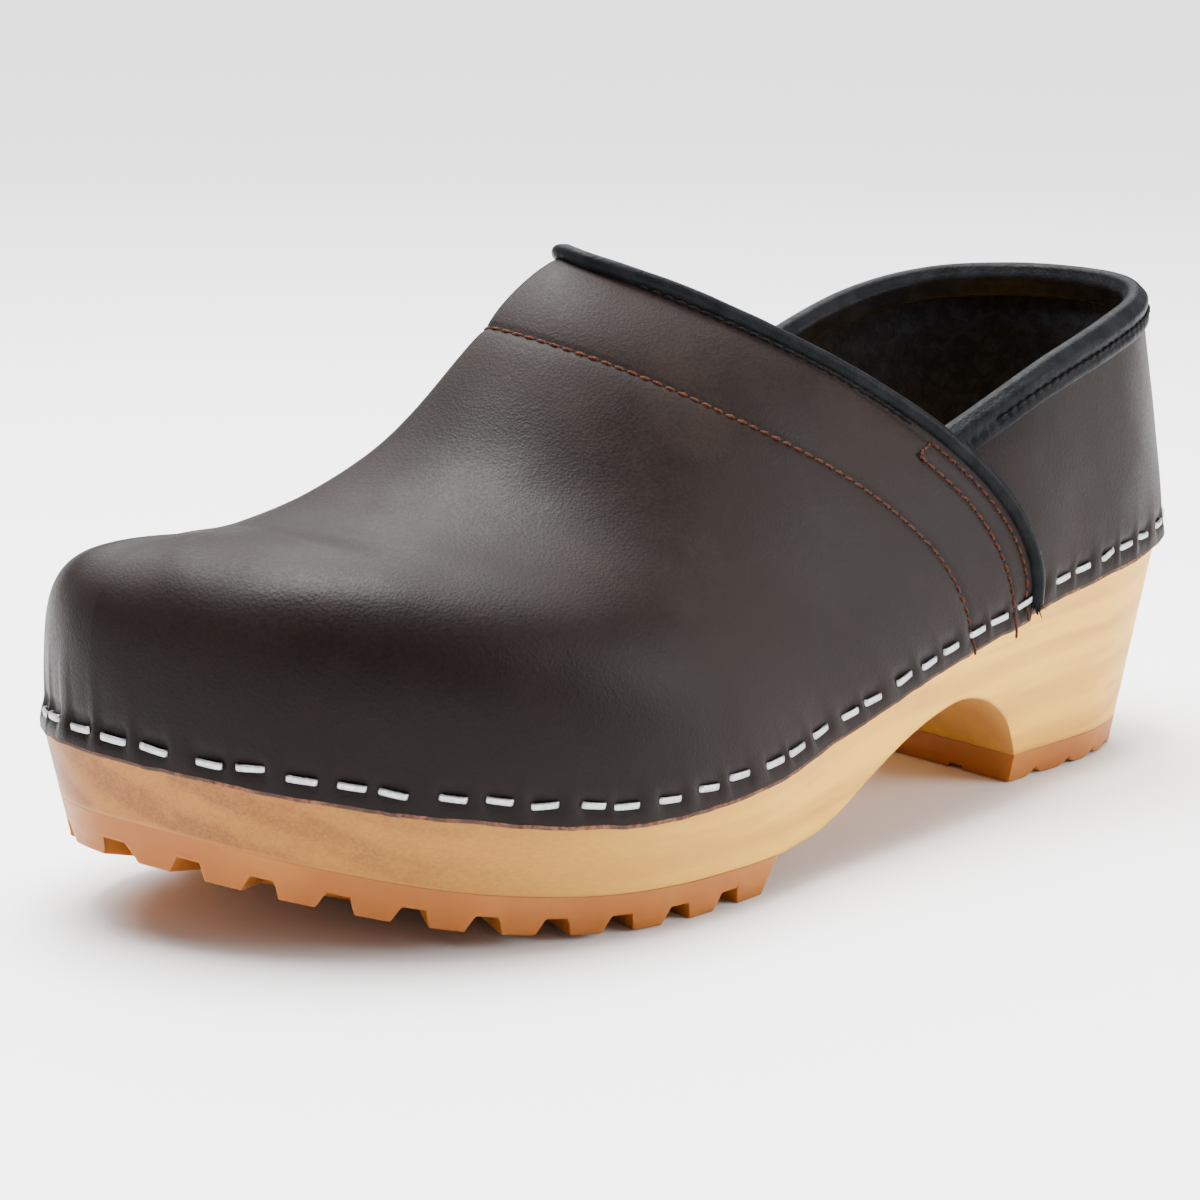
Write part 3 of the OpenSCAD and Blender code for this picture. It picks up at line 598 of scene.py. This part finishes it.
def vamp_skin(s, t):
    """The vamp's outer surface with its dents, swellings and creases."""
    s, t = np.broadcast_arrays(np.asarray(s, float), np.asarray(t, float))
    p, n, low = vamp_outer(s, t), vamp_normal(s, t), vamp_outer(s, 0 * t)
    height, e = np.linalg.norm(p - low, axis=-1), from_end(s)
    off = off_nearest(vamp_ruler(s), vamp_ruler(vamp_staples))
    toe = smooth(6.8, 8.5, s) * (1 - smooth(12.5, 14, s))
    relief = edge_relief(off, height, 0.04 + 0.3 * toe)
    relief += 1.25 * corner(s + 3) * (1 - smooth(0.5, 6, height))
    relief += 0.75 * np.sin(np.pi * np.clip((e - 0.06) / 0.92, 0, 1)) * smooth(0.3, 0.6, t)
    across = np.linalg.norm(vamp_outer(np.minimum(s + 0.05, LAST), t) - p, axis=-1) / 0.05
    for row, low_t, high_t in ((instep_row(t), 0.0, 1.01), (seam_row(t), 0.02, SEAM_TOP),
                               (NEAR_ROW, 0.02, 1.01)):
        relief += furrow((e - row) * across) * smooth(low_t - 0.02, low_t + 0.02, t) * (t < high_t)
    relief += 0.28 * rough(p, 30) * smooth(0, 8, height) + 0.09 * rough(p, 9, 1)
    wave = 0.45 * rough(low, 11, 2) + 0.22 * rough(low, 3.2, 3)
    down = unit(vamp_outer(s, 0 * t) - vamp_outer(s, 0 * t + 0.02))
    return p + n * relief[..., None] + down * (wave * (1 - smooth(0, 4, height)))[..., None]


def quarter_skin(v, t):
    v, t = np.broadcast_arrays(np.asarray(v, float), np.asarray(t, float))
    p, n, low = quarter_outer(v, t), quarter_normal(v, t), quarter_outer(v, 0 * t)
    height = np.linalg.norm(p - low, axis=-1)
    off = off_nearest(quarter_ruler(v), quarter_ruler(quarter_staples))
    shown = smooth(0.95, 1.15, v) * (1 - smooth(8.85, 9.05, v))
    relief = edge_relief(off, height, 0.04) * shown
    relief += (0.3 * rough(p, 28, 4) * smooth(0, 10, height) + 0.08 * rough(p, 9, 5)) * shown
    wave = 0.4 * rough(low, 12, 6) + 0.2 * rough(low, 3.5, 7)
    down = unit(quarter_outer(v, 0 * t) - quarter_outer(v, 0 * t + 0.02))
    return p + n * relief[..., None] + down * (wave * (1 - smooth(0, 4, height)))[..., None]


def dense_below(split, low_count, high_count):
    """Places from 0 to 1 up the leather, closer together below the split."""
    return np.concatenate([np.linspace(0, split, low_count),
                           split + (1 - split) * np.linspace(0, 1, high_count)[1:]])[None, :]


vs, vt = np.linspace(0, LAST, 601)[:, None], dense_below(0.11, 25, 52)
make("vamp_leather", [shell(vamp_skin(vs, vt), vamp_at(vs, vt, LEATHER), seam=True, skirt=1)],
     [LEATHER_M, EDGE_M, EDGE_M], "vamp", weld=0.002)
qv, qt = np.linspace(-0.35, 10.35, 361)[:, None], dense_below(0.22, 22, 26)
make("quarter_leather", [shell(quarter_skin(qv, qt), quarter_at(qv, qt, LEATHER), skirt=1)],
     [LEATHER_M, EDGE_M, EDGE_M], "quarter")

# ---------------------------------------------------------------- linings, stiffeners and pad
THINNEST = 0.05
lt = np.concatenate([[0.05], np.linspace(0.09, 1, 30)])[None, :]
start = 0.04 + 1.1 * (1 - smooth(0.15, 0.5, lt))
ls = start + (LAST - 2 * start) * np.linspace(0, 1, 201)[:, None]
under = LEATHER + GAP + filler(ls, lt)
wrinkle = 0.12 * rough(vamp_outer(ls, lt), 6, 8)
lining = shell(vamp_at(ls, lt, under), vamp_at(ls, lt, under + LINING + wrinkle), seam=True, bulge=0.3,
               steps=3, rim=0, inside=0)
make("vamp_lining_leather", [lining], [LINING_M], "vamp_lining", weld=0.002)

lv, lq = np.linspace(-0.31, 10.31, 241)[:, None], np.linspace(0.08, 1, 40)[None, :]
under = LEATHER + GAP + counter_depth(lv, lq)
nap = 0.16 * rough(quarter_outer(lv, lq), 4, 9) + 0.1 * rough(quarter_outer(lv, lq), 1.8, 10)
lining = shell(quarter_at(lv, lq, under), quarter_at(lv, lq, under + LINING + nap), bulge=0.2, steps=3,
               rim=0, inside=0)
quarter_lining = make("quarter_lining_cloth", [lining], [BLACK_M], "quarter_lining")

ps, pt = np.linspace(4.6, LAST - 4.6, 89)[:, None], np.linspace(0.14, 1, 30)[None, :]
depth = np.maximum(puff_depth(ps, pt), THINNEST)
puff = shell(vamp_at(ps, pt, LEATHER + GAP / 2), vamp_at(ps, pt, LEATHER + GAP / 2 + depth), seam=True,
             bulge=0.02, steps=2, rim=0, inside=0)
make("toe_puff_fibre", [puff], [FIBRE_M], "toe_puff", weld=0.002)
cv, ct = np.linspace(1.6, 8.4, 90)[:, None], np.linspace(0.15, 0.85, 20)[None, :]
depth = np.maximum(counter_depth(cv, ct), THINNEST)
counter = shell(quarter_at(cv, ct, LEATHER + GAP / 2), quarter_at(cv, ct, LEATHER + GAP / 2 + depth),
                bulge=0.02, steps=2, rim=0, inside=0)
make("heel_counter_fibre", [counter], [FIBRE_M], "heel_counter")

pad_s = np.linspace(0.1, 0.95, 24)[:, None]
up = np.linspace(0.56, 1, 26)
pad_t = np.concatenate([up, up[-2::-1]])[None, :]
far = np.concatenate([np.zeros(len(up)), np.ones(len(up) - 1)])[None, :]
pad_place = np.where(far > 0, LAST - pad_s, pad_s)
depth = np.maximum(pad_depth(pad_s) * smooth(0.55, 0.68, pad_t), THINNEST)
cushion = shell(vamp_at(pad_place, pad_t, LEATHER + GAP / 2),
                vamp_at(pad_place, pad_t, LEATHER + GAP / 2 + depth), bulge=0.02, steps=2, rim=0, inside=0)
pad = make("instep_pad_foam", [cushion], [FOAM_M], "instep_pad")

# ---------------------------------------------------------------- wood


def stations(place, x_marks, count, ends=(None, None)):
    """Pairs of places on the outer and the inner side with the same x, from the heel to the toe.
    place gives the outline's points; x_marks are added; ends cut the row short in x."""
    u = np.linspace(-2, 13, 6001)
    x = place(u)[:, 0]
    first = u[np.argmin(np.where(u < 3, x, 1e9))]
    last = u[np.argmax(np.where(u > 8, x, -1e9))]
    outer = np.linspace(first, last, 4001)
    inner = np.linspace(first + N, last, 4001)
    xo, xi = place(outer)[:, 0], place(inner)[:, 0]
    xo, xi = np.maximum.accumulate(xo), np.maximum.accumulate(xi)
    low = xo[0] if ends[0] is None else ends[0]
    high = xo[-1] if ends[1] is None else ends[1]
    begin, stop = np.interp([low, high], xo, outer)
    x = np.interp(np.linspace(begin, stop, count), outer, xo)
    x[0], x[-1] = low, high
    for mark in x_marks:
        x = np.append(x[np.abs(x - mark) > 0.12], mark)
    x = np.sort(x)
    return np.interp(x, xo, outer), np.interp(x, xi, inner), x


def bottom_point(u):
    p = edge(u)
    for _ in range(8):
        p = wall_at(u, wood_bottom(p[..., 0]), wood_inset(u))
    return p


marks = [BREAST - 0.35, BREAST - 0.15, BREAST, BREAST + 0.12] + list(np.linspace(BREAST + 0.3, 92, 60))
wo, wi, wx = stations(bottom_point, marks, 300)


def wood_wall(u, x):
    """Rows of points up one side, from just inside the bottom edge to the rounded rim."""
    e, low, flush = edge(u), wood_bottom(x), wood_inset(u)
    rows = [wall_at(u, low, flush + 0.14), wall_at(u, low + 0.12, flush + 0.02)]
    rows += [wall_at(u, low + 0.12 + (e[:, 2] - 0.5 - low) * f, flush) for f in np.linspace(0.1, 1, 10)]
    rows.append(wall_at(u, e[:, 2] - 0.2, np.maximum(flush, LEATHER)))
    rim, turn = LEATHER + LINING + 2 * GAP, 1.1

    def upright(inset, height):
        p = e - edge_normal(u) * inset
        p[:, 2] = e[:, 2] + height
        return p

    rows += [upright(rim, 0.5), upright(rim, 5), upright(rim, RIM_RISE - turn)]
    rows += [upright(rim + turn * (1 - math.cos(q)), RIM_RISE - turn + turn * math.sin(q))
             for q in (0.5, 1.0, 1.57)]
    return rows


outer_rows, inner_rows = wood_wall(wo, wx), wood_wall(wi, wx)
a, b = outer_rows[-1], inner_rows[-1]
dish = DISH * smooth(0, 40, np.linalg.norm(a - b, axis=1))
footbed = []
for f in np.linspace(0, 1, 27)[1:-1]:
    p = a + (b - a) * f
    p[:, 2] -= dish * smooth(0, 0.3, min(f, 1 - f))
    footbed.append(p)
a, b = outer_rows[0], inner_rows[0]
underside = [a + (b - a) * f for f in np.linspace(1, 0, 15)[1:-1]]
for p in underside:
    p[:, 2] = wood_bottom(wx)
loops = np.stack(outer_rows + footbed + inner_rows[::-1] + underside, 1)
wood = loops + 0.05 * rough(loops, 14, 11)[..., None] * unit(loops - loops.mean(1, keepdims=True))
make("wood_base_alder", [tube(wood)], [WOOD_M], "wood_base", weld=0.004, sharp=50)


# ---------------------------------------------------------------- rubber soles
def sole_line(u):
    e = edge(u)
    low = np.where(e[..., 0] > BREAST + 20, wood_bottom(e[..., 0]), HEEL_RUBBER)
    return wall_at(u, low, wood_inset(u))


def sole(name, first_top, first_low, top, low, node, count, across, ends_top=None, ends_low=None):
    """A moulded sole: flat against the wood above, its tread below a height map low(x, y)."""
    lo = stations(sole_line, [], count, (first_low, ends_low))
    hi = stations(sole_line, [], count, (first_top, ends_top))

    def side(k):
        rows = []
        for f in np.linspace(0, 1, 7):
            u = hi[k] + (lo[k] - hi[k]) * f
            p = sole_line(u)
            ceiling, floor = top(p[:, 0], p[:, 1]), low(p[:, 0], p[:, 1])
            rows.append(wall_at(u, ceiling + (floor + 0.5 - ceiling) * f, wood_inset(u)))
        p = rows[-1]
        n = edge_normal(lo[k])
        for inset, lift in ((0.08, 0.2), (0.24, 0.06), (0.5, 0.0)):
            q = p - n * inset
            q[:, 2] = low(q[:, 0], q[:, 1]) + lift
            rows.append(q)
        return rows

    left, right = side(0), side(1)
    bottom = []
    for f in np.linspace(0, 1, across)[1:-1]:
        p = left[-1] + (right[-1] - left[-1]) * f
        p[:, 2] = low(p[:, 0], p[:, 1])
        bottom.append(p)
    lid = []
    for f in np.linspace(1, 0, 8)[1:-1]:
        p = left[0] + (right[0] - left[0]) * f
        p[:, 2] = top(p[:, 0], p[:, 1])
        lid.append(p)
    loops = np.stack(left + bottom + right[::-1] + lid, 1)
    return make(name, [tube(loops)], [GUM_M], node, weld=0.004, sharp=48)


def rim_place(u):
    return wall_at(u, 0 * u, LEATHER)


rim_u = np.linspace(0, N, N * 8 + 1)
rim_sum = lengths(rim_place(rim_u)[:, :2])
groove_from, groove_to = np.interp([GROOVE_FROM, GROOVE_TO], rim_u, rim_sum)
groove_n = int(round((groove_to - groove_from) / LUG_PITCH))
GROOVES = np.interp(np.linspace(groove_from, groove_to, groove_n + 1), rim_sum, rim_u)


def from_groove(u, x, y):
    """Distance along the edge towards the toe, and distance inwards, from a place on the edge."""
    e, n = edge(u), edge_normal(u)
    toe_way = 1 if u < N / 2 else -1
    dx, dy = x - e[0], y - e[1]
    return (dx * n[1] - dy * n[0]) * toe_way, -(dx * n[0] + dy * n[1])


def fore_low(x, y):
    cut = np.zeros_like(x)
    for u in GROOVES:
        a, r = from_groove(u, x, y)
        g = smooth(-2.6, -2.1, a) * np.clip((4.1 - a) / 1.9, 0, 1) * (1 - smooth(21, 22.2, r))
        cut = np.maximum(cut, g)
    for cx in np.arange(FORE_END + 12, 228.1, LUG_PITCH):
        g = smooth(-2.9, -2.3, x - cx) * (1 - smooth(2.3, 3.1, x - cx))
        cut = np.maximum(cut, g * smooth(-20.6, -19.6, y) * (1 - smooth(13.4, 14.4, y)))
    return np.maximum(wood_bottom(x) - TREAD, 0) + GROOVE * cut


def fore_top(x, y):
    return wood_bottom(x)


def heel_low(x, y):
    cut = np.zeros_like(x)
    for base in (1.72, N - 1.72):
        for i in range(4):
            u = base + (0.98 * i / 3) * (1 if base < 10 else -1)
            a, r = from_groove(u, x, y)
            lobe = 1 - np.sqrt(1 - np.clip(1 - np.abs(a) / 4.9, 0, 1) ** 2)
            cut = np.maximum(cut, 0.7 * lobe * (1 - smooth(17, 21, r)))
    for cy in (-14, 14):
        g = smooth(-2.4, -1.7, y - cy) * (1 - smooth(1.7, 2.4, y - cy)) * smooth(49.6, 50.6, x)
        cut = np.maximum(cut, 0.35 * g)
    front = smooth(BREAST - 1.2, BREAST, x) * 0.08
    return GROOVE * np.maximum(cut, front)


def heel_top(x, y):
    return np.full_like(x, HEEL_RUBBER)


sole("forefoot_outsole_gum", FORE_END, FORE_END + 4, fore_top, fore_low, "forefoot_outsole", 380, 150)
sole("heel_outsole_gum", None, None, heel_top, heel_low, "heel_outsole", 220, 120, BREAST, BREAST)

# ---------------------------------------------------------------- piping and binding


def on_throat(surface, g):
    """A surface along the throat: up the outer side for g from 0 to 1, and down the inner side to 2."""
    return np.where((g <= 1)[:, None], surface(0 * g, np.minimum(g, 1)),
                    surface(0 * g + LAST, np.minimum(2 - g, 1)))


def piping_frame(g):
    before, after = np.maximum(g - 0.01, 0), np.minimum(g + 0.01, 2)
    along = unit(on_throat(vamp_outer, after) - on_throat(vamp_outer, before))
    out = on_throat(vamp_normal, g)
    back = unit(np.cross(along, out))
    reach = PIPING * (0.35 - 0.55 * smooth(0.7, 1, np.minimum(g, 2 - g)))
    return on_throat(vamp_outer, g) - out * 0.5 + back * reach[:, None], out, back, along


g = np.linspace(PIPING_FROM, PIPING_TO, 260)
centre, out, back, along = piping_frame(g)
ends = np.minimum(g - PIPING_FROM, PIPING_TO - g)
fit = 0.9 + 0.1 * smooth(0, 0.05, ends)
angles = np.linspace(0, 2 * math.pi, 25)[:-1]
body = []
for q in angles:
    body.append(centre + (out * math.cos(q) * PIPING * 0.6 + back * math.sin(q) * PIPING / 2) * fit[:, None])
body = np.stack(body, 1)
body += 0.07 * rough(body, 5, 12)[..., None] * unit(body - centre[:, None])
parts = [tube(body)]
rng = np.random.default_rng(7)
for end, sign in ((PIPING_FROM, -1), (PIPING_TO, 1)):
    c, o, k, d = (v[0] for v in piping_frame(np.array([end])))
    for i in range(16):  # frayed threads at the cut end
        w = np.linspace(0, 1, 7)[:, None]
        lean_to = k * rng.uniform(-1.4, 2.4) + o * rng.uniform(-0.3, 0.9)
        line = c + o * rng.uniform(-0.7, 0.9) + k * rng.uniform(-1, 1)
        line = line + d * sign * (w * rng.uniform(2.0, 4.0) - 0.8) + lean_to * w ** 2
        radius = 0.42 * (1 - 0.75 * w)
        ring = np.stack([line + radius * (o * math.cos(q) + k * math.sin(q)) for q in angles[::4]], 1)
        parts.append(tube(ring))
make("throat_piping_roll", parts, [TRIM_M], "throat_piping", sharp=60)

WALL = LEATHER + LINING + 2 * GAP
half = WALL / 2
BAND_LOOP = np.array([  # the binding's section: outwards from mid wall, and down from the collar's edge
    (half + 0.15, 6.0), (half + 0.75, 6.05), (half + 1.05, 5.5), (half + 1.12, 4.6), (half + 0.82, 3.2),
    (half + 1.2, 2.0), (half + 1.3, 0.6), (1.75, -0.9), (1.1, -1.75), (0, -2.1), (-1.1, -1.75),
    (-1.75, -0.9), (-half - 1.3, 0.6), (-half - 1.1, 2.4), (-half - 1.0, 4.2), (-half - 0.7, 4.95),
    (-half - 0.15, 4.9), (-half - 0.1, 2.5), (-half - 0.1, 0.1), (0, -0.15), (half + 0.1, 0.1),
    (half + 0.1, 3)])
band = np.array([closed_at(BAND_LOOP, w) for w in np.linspace(0, len(BAND_LOOP), 67)[:-1]])
bv = np.linspace(-0.15, 10.15, 420)
rim_top, rim_out = quarter_at(bv, 1.0, 0 * bv), quarter_normal(bv, 1.0)
rim_down = unit(quarter_at(bv, 0.9, 0 * bv) - rim_top)
rim_mid = rim_top - rim_out * half
run = lengths(rim_top)
body = []
for o, d in band:
    pull = 0.07 * np.cos(2 * np.pi * run / STITCH) * np.exp(-((d - 3.2) / 1.6) ** 2) * (o > half + 0.5)
    body.append(rim_mid + rim_out * (o + pull)[:, None] + rim_down * d)
body = np.stack(body, 1)
body += 0.1 * rough(body, 7, 13)[..., None] * rim_out[:, None]
make("collar_binding_band", [tube(body)], [TRIM_M], "collar_binding", sharp=60)


# ---------------------------------------------------------------- staples
def wire_path():
    """The bent wire in its own plane: (along, out) points with the direction out of the bend."""
    w, r = STAPLE_W / 2, 0.55
    pts = [(-w, -STAPLE_LEG), (-w, -STAPLE_LEG / 2), (-w, -r)]
    pts += [(-w + r - r * math.cos(q), -r + r * math.sin(q)) for q in (0.4, 0.8, 1.2)]
    pts += [(x, 0.06 * math.cos(x * 0.9)) for x in np.linspace(-w + r, w - r, 6)]
    pts += [(w - r + r * math.cos(q), -r + r * math.sin(q)) for q in (1.2, 0.8, 0.4)]
    return np.array(pts + [(w, -r), (w, -STAPLE_LEG / 2), (w, -STAPLE_LEG)])


WIRE = wire_path()
tangent = unit(np.gradient(WIRE, axis=0))
face = np.stack([-tangent[:, 1], tangent[:, 0]], 1)
WIRE_HALF_THICK, STAPLE_LIFT = 0.31, 0.42
SECTION = [(math.copysign(abs(math.cos(q)) ** 0.5, math.cos(q)) * STAPLE_WIRE / 2,
            math.copysign(abs(math.sin(q)) ** 0.5, math.sin(q)) * WIRE_HALF_THICK)
           for q in np.linspace(0, 2 * math.pi, 13)[:-1] + 0.26]


def lens(centre, x, y, z, long, wide, thick):
    """A small dark closed pit, flat on the surface. Its near-black material is painted shade for the inside
    of a hole.
    """
    q = np.linspace(0, 2 * math.pi, 11)[:-1]
    rings = [centre + z * h + x * long * r * np.cos(q)[:, None] + y * wide * r * np.sin(q)[:, None]
             for h, r in ((-thick, 0.4), (-thick * 0.3, 0.95), (thick * 0.35, 0.8), (thick, 0.3))]
    p, faces = tube(np.stack(rings))
    return p, [(f, 1) for f, _ in faces]


def staples(skin, base, normal, places, node, seed):
    rng = np.random.default_rng(seed)
    parts = []
    at, out = skin(places), normal(places)
    along = unit(base(places + 0.01) - base(places - 0.01))
    for p, z, d in zip(at, out, along):
        x = unit(d - z * (z @ d))
        y = np.cross(z, x)
        turn, tip = rng.normal(0, 0.07), rng.normal(0, 0.05)
        x = unit(x * math.cos(turn) + y * math.sin(turn))
        x = unit(x + z * tip)
        y = np.cross(z, x)
        z = np.cross(x, y)
        p = p + y * rng.normal(0, 0.22) + z * (STAPLE_LIFT + rng.normal(0, 0.05))
        size = 1 + rng.normal(0, 0.03)
        loops = [p + x * (w[0] * size + f[0] * b) + z * (w[1] + f[1] * b) + y * a
                 for w, f in zip(WIRE, face) for a, b in SECTION]
        parts.append(tube(np.array(loops).reshape(len(WIRE), len(SECTION), 3)))
        # A dark pit where each leg goes in: painted shade for the hole.
        for side in (-1, 1):
            hole = p - z * STAPLE_LIFT + x * side * (STAPLE_W / 2 + 0.35)
            parts.append(lens(hole, x, y, z, 0.75, 0.85, 0.1))
    return make(node + "_wire", parts, [STEEL_M, HOLE_SHADE_M], node, sharp=50)


staples(lambda s: vamp_skin(s, 0 * s + STAPLE_T), lambda s: vamp_outer(s, STAPLE_T),
        lambda s: vamp_normal(s, STAPLE_T), vamp_staples, "vamp_staples", 3)
staples(lambda v: quarter_skin(v, 0 * v + STAPLE_TQ), lambda v: quarter_outer(v, STAPLE_TQ),
        lambda v: quarter_normal(v, STAPLE_TQ), quarter_staples, "quarter_staples", 4)


# ---------------------------------------------------------------- stitching
def strand(line, out, radius, turns=1.6, phase=0.0, ply=0.22):
    """A thread along a line of points. Its section is a figure of two plies that turns as it goes."""
    d = unit(np.gradient(line, axis=0))
    z = unit(out - d * np.sum(out * d, -1, keepdims=True))
    y = np.cross(z, d)
    q = np.linspace(0, 2 * math.pi, 9)[:-1]
    twist = phase + turns * math.pi * np.linspace(0, 1, len(line))
    rings = []
    for k in range(len(line)):
        r = radius * (1 - ply + ply * np.abs(np.cos(q - twist[k])) * 1.4)
        if k in (0, len(line) - 1):
            r = r * 0.6
        rings.append(line[k] + y[k] * (r * np.cos(q))[:, None] + z[k] * (r * np.sin(q))[:, None])
    return tube(np.stack(rings))


def stitch_parts(path, outs, seed, width=0.3, arch=0.24):
    rng = np.random.default_rng(seed)
    parts = []
    f = np.linspace(0, 1, 9)
    for i in range(len(path) - 1):
        a, b, z = path[i], path[i + 1], unit(outs[i] + outs[i + 1])
        d = unit(b - a)
        y = np.cross(z, d)
        lift = -0.42 + (0.42 + arch) * np.sin(np.pi * (0.06 + 0.88 * f)) ** 0.6
        slant = rng.normal(0.1, 0.05)
        line = a + (b - a) * (0.12 + 0.76 * f)[:, None] + z * lift[:, None]
        line = line + y * (slant * np.sin(np.pi * (f - 0.5)))[:, None]
        radius = width * rng.uniform(0.92, 1.08)
        parts.append(strand(line, np.tile(z, (9, 1)), radius, phase=rng.uniform(0, 3)))
    # A dark pit at each needle hole: painted shade for the hole.
    for i, p in enumerate(path):
        z = outs[i]
        d = unit(path[min(i + 1, len(path) - 1)] - path[max(i - 1, 0)])
        parts.append(lens(p, d, np.cross(z, d), z, 0.52, 0.44, 0.07))
    return parts


def tail(start, way, out, drop, seed):
    """A short loose end of thread."""
    rng = np.random.default_rng(seed)
    w = np.linspace(0, 1, 16)[:, None]
    side = unit(np.cross(way, out))
    line = start + way * drop * w + out * (0.35 + 0.9 * np.sin(w * 2.4)) * 0.8 * w
    line = line + side * (rng.uniform(-1.6, 1.6) * w ** 2)
    return strand(line, np.tile(out, (16, 1)), 0.27, turns=6)


def vamp_row(row, from_t, to_t, seed):
    """A row of stitches up the vamp at one place s, which may depend on t."""
    places = spread(lambda t: vamp_outer(row(t), t), from_t, to_t, STITCH)
    return stitch_parts(vamp_skin(row(places), places), vamp_normal(row(places), places), seed)


def stitching(node, parts, thread_m):
    return make(node + "_thread", parts, [thread_m, HOLE_SHADE_M], node, sharp=70)


def loose_end(s, seed, drop):
    p, q = vamp_skin(np.array([s, s]), np.array([0.035, 0.0]))
    n = vamp_normal(np.array(s), np.array(0.03))
    return tail(p + n * 0.3, unit(q - p), n, drop, seed)


rows = vamp_row(instep_row, 0.03, 1, 21) + vamp_row(lambda t: LAST - instep_row(t), 0.03, 1, 22)
rows += [loose_end(INSTEP_ROW, 5, 3.6), loose_end(LAST - INSTEP_ROW, 6, 3.6)]
stitching("instep_stitching", rows, BROWN_T)
for name, flip, seed in (("outer_seam_stitching", False, 23), ("inner_seam_stitching", True, 33)):
    def side_of(s, flip=flip):
        return LAST - s if flip else s
    rows = vamp_row(lambda t: side_of(NEAR_ROW + 0 * t), 0.04, SEAM_TOP, seed)
    rows += vamp_row(lambda t: side_of(seam_row(t)), 0.04, SEAM_TOP, seed + 1)
    leg = side_of(np.linspace(0.1, 0.29, 4))
    rows += stitch_parts(vamp_skin(leg, 0 * leg + SEAM_TOP), vamp_normal(leg, 0 * leg + SEAM_TOP), seed + 2)
    rows += [loose_end(side_of(FAR_ROW), seed, 5.2), loose_end(side_of(NEAR_ROW), seed + 4, 3.4)]
    stitching(name, rows, BROWN_T)
rows = vamp_row(lambda t: BLACK_ROW + 0 * t, SEAM_TOP + 0.04, 1, 41)
rows += vamp_row(lambda t: LAST - BLACK_ROW + 0 * t, SEAM_TOP + 0.04, 1, 42)
stitching("piping_stitching", rows, BLACK_T)


def collar_line(v):
    p, q = quarter_at(v, 1.0, 0 * v - GAP - 0.95), quarter_at(v, 0.9, 0 * v)
    return p + unit(q - quarter_at(v, 1.0, 0 * v)) * 3.2


places = spread(collar_line, 0.5, 9.5, STITCH)
rows = stitch_parts(collar_line(places), quarter_normal(places, 1.0), 51, 0.32, 0.22)
stitching("collar_stitching", rows, BLACK_T)

# ---------------------------------------------------------------- floor, light and camera
floor_mesh = bpy.data.meshes.new("floor")
FLOOR = 12  # half its width, in metres
floor_mesh.from_pydata([(-FLOOR, -FLOOR, 0), (FLOOR, -FLOOR, 0), (FLOOR, FLOOR, 0), (-FLOOR, FLOOR, 0)], [],
                       [(0, 1, 2, 3)])
floor = bpy.data.objects.new("floor", floor_mesh)
bpy.context.collection.objects.link(floor)
pale = Shader("pale_floor", Specular_IOR_Level=0.1)
floor_mesh.materials.append(pale.finish((0.86, 0.86, 0.86), 0.9))

world = bpy.data.worlds.new("studio")
bpy.context.scene.world = world
world.use_nodes = True
world.node_tree.nodes["Background"].inputs["Color"].default_value = (1, 1, 1, 1)
world.node_tree.nodes["Background"].inputs["Strength"].default_value = 0.34


def softbox(name, place, aim, size, watts):
    data = bpy.data.lights.new(name, "AREA")
    data.shape, data.size, data.size_y, data.energy = "RECTANGLE", size[0], size[1], watts
    lamp = bpy.data.objects.new(name, data)
    bpy.context.collection.objects.link(lamp)
    lamp.location = place
    lamp.rotation_euler = (Vector(aim) - Vector(place)).to_track_quat("-Z", "Y").to_euler()


sun = bpy.data.objects.new("high_light", bpy.data.lights.new("high_light", "SUN"))
bpy.context.collection.objects.link(sun)
sun.data.energy, sun.data.angle = 8.5, math.radians(75)
sun.rotation_euler = Vector((-0.25, -0.45, 1)).to_track_quat("Z", "Y").to_euler()
softbox("heel_side", (-0.85, 1.05, 0.5), (-0.03, 0, 0.05), (0.9, 0.7), 22)
softbox("above", (0.05, -0.12, 1.0), (0.02, 0, 0.05), (0.6, 0.6), 38)

azimuth, elevation, roll = math.radians(44.25), math.radians(12.85), math.radians(0.95)
toward = Vector((math.sin(azimuth) * math.cos(elevation), math.cos(azimuth) * math.cos(elevation),
                 math.sin(elevation)))
right = Vector((0, 0, 1)).cross(toward).normalized()
upward = toward.cross(right)
right, upward = (right * math.cos(roll) + upward * math.sin(roll),
                 upward * math.cos(roll) - right * math.sin(roll))
camera = bpy.data.objects.new("camera", bpy.data.cameras.new("camera"))
bpy.context.collection.objects.link(camera)
LENS, DISTANCE = 93.3, 0.6
camera.data.lens, camera.data.sensor_width = LENS, 36
camera.data.clip_start, camera.data.clip_end = 0.02, 60
centre_mm = np.array([155.4, 0, 48.3]) - ORIGIN
place = Vector((centre_mm / 1000).tolist()) + toward * DISTANCE
turn = Matrix((right, upward, toward)).transposed().to_4x4()
camera.matrix_world = Matrix.Translation(place) @ turn
bpy.context.scene.camera = camera
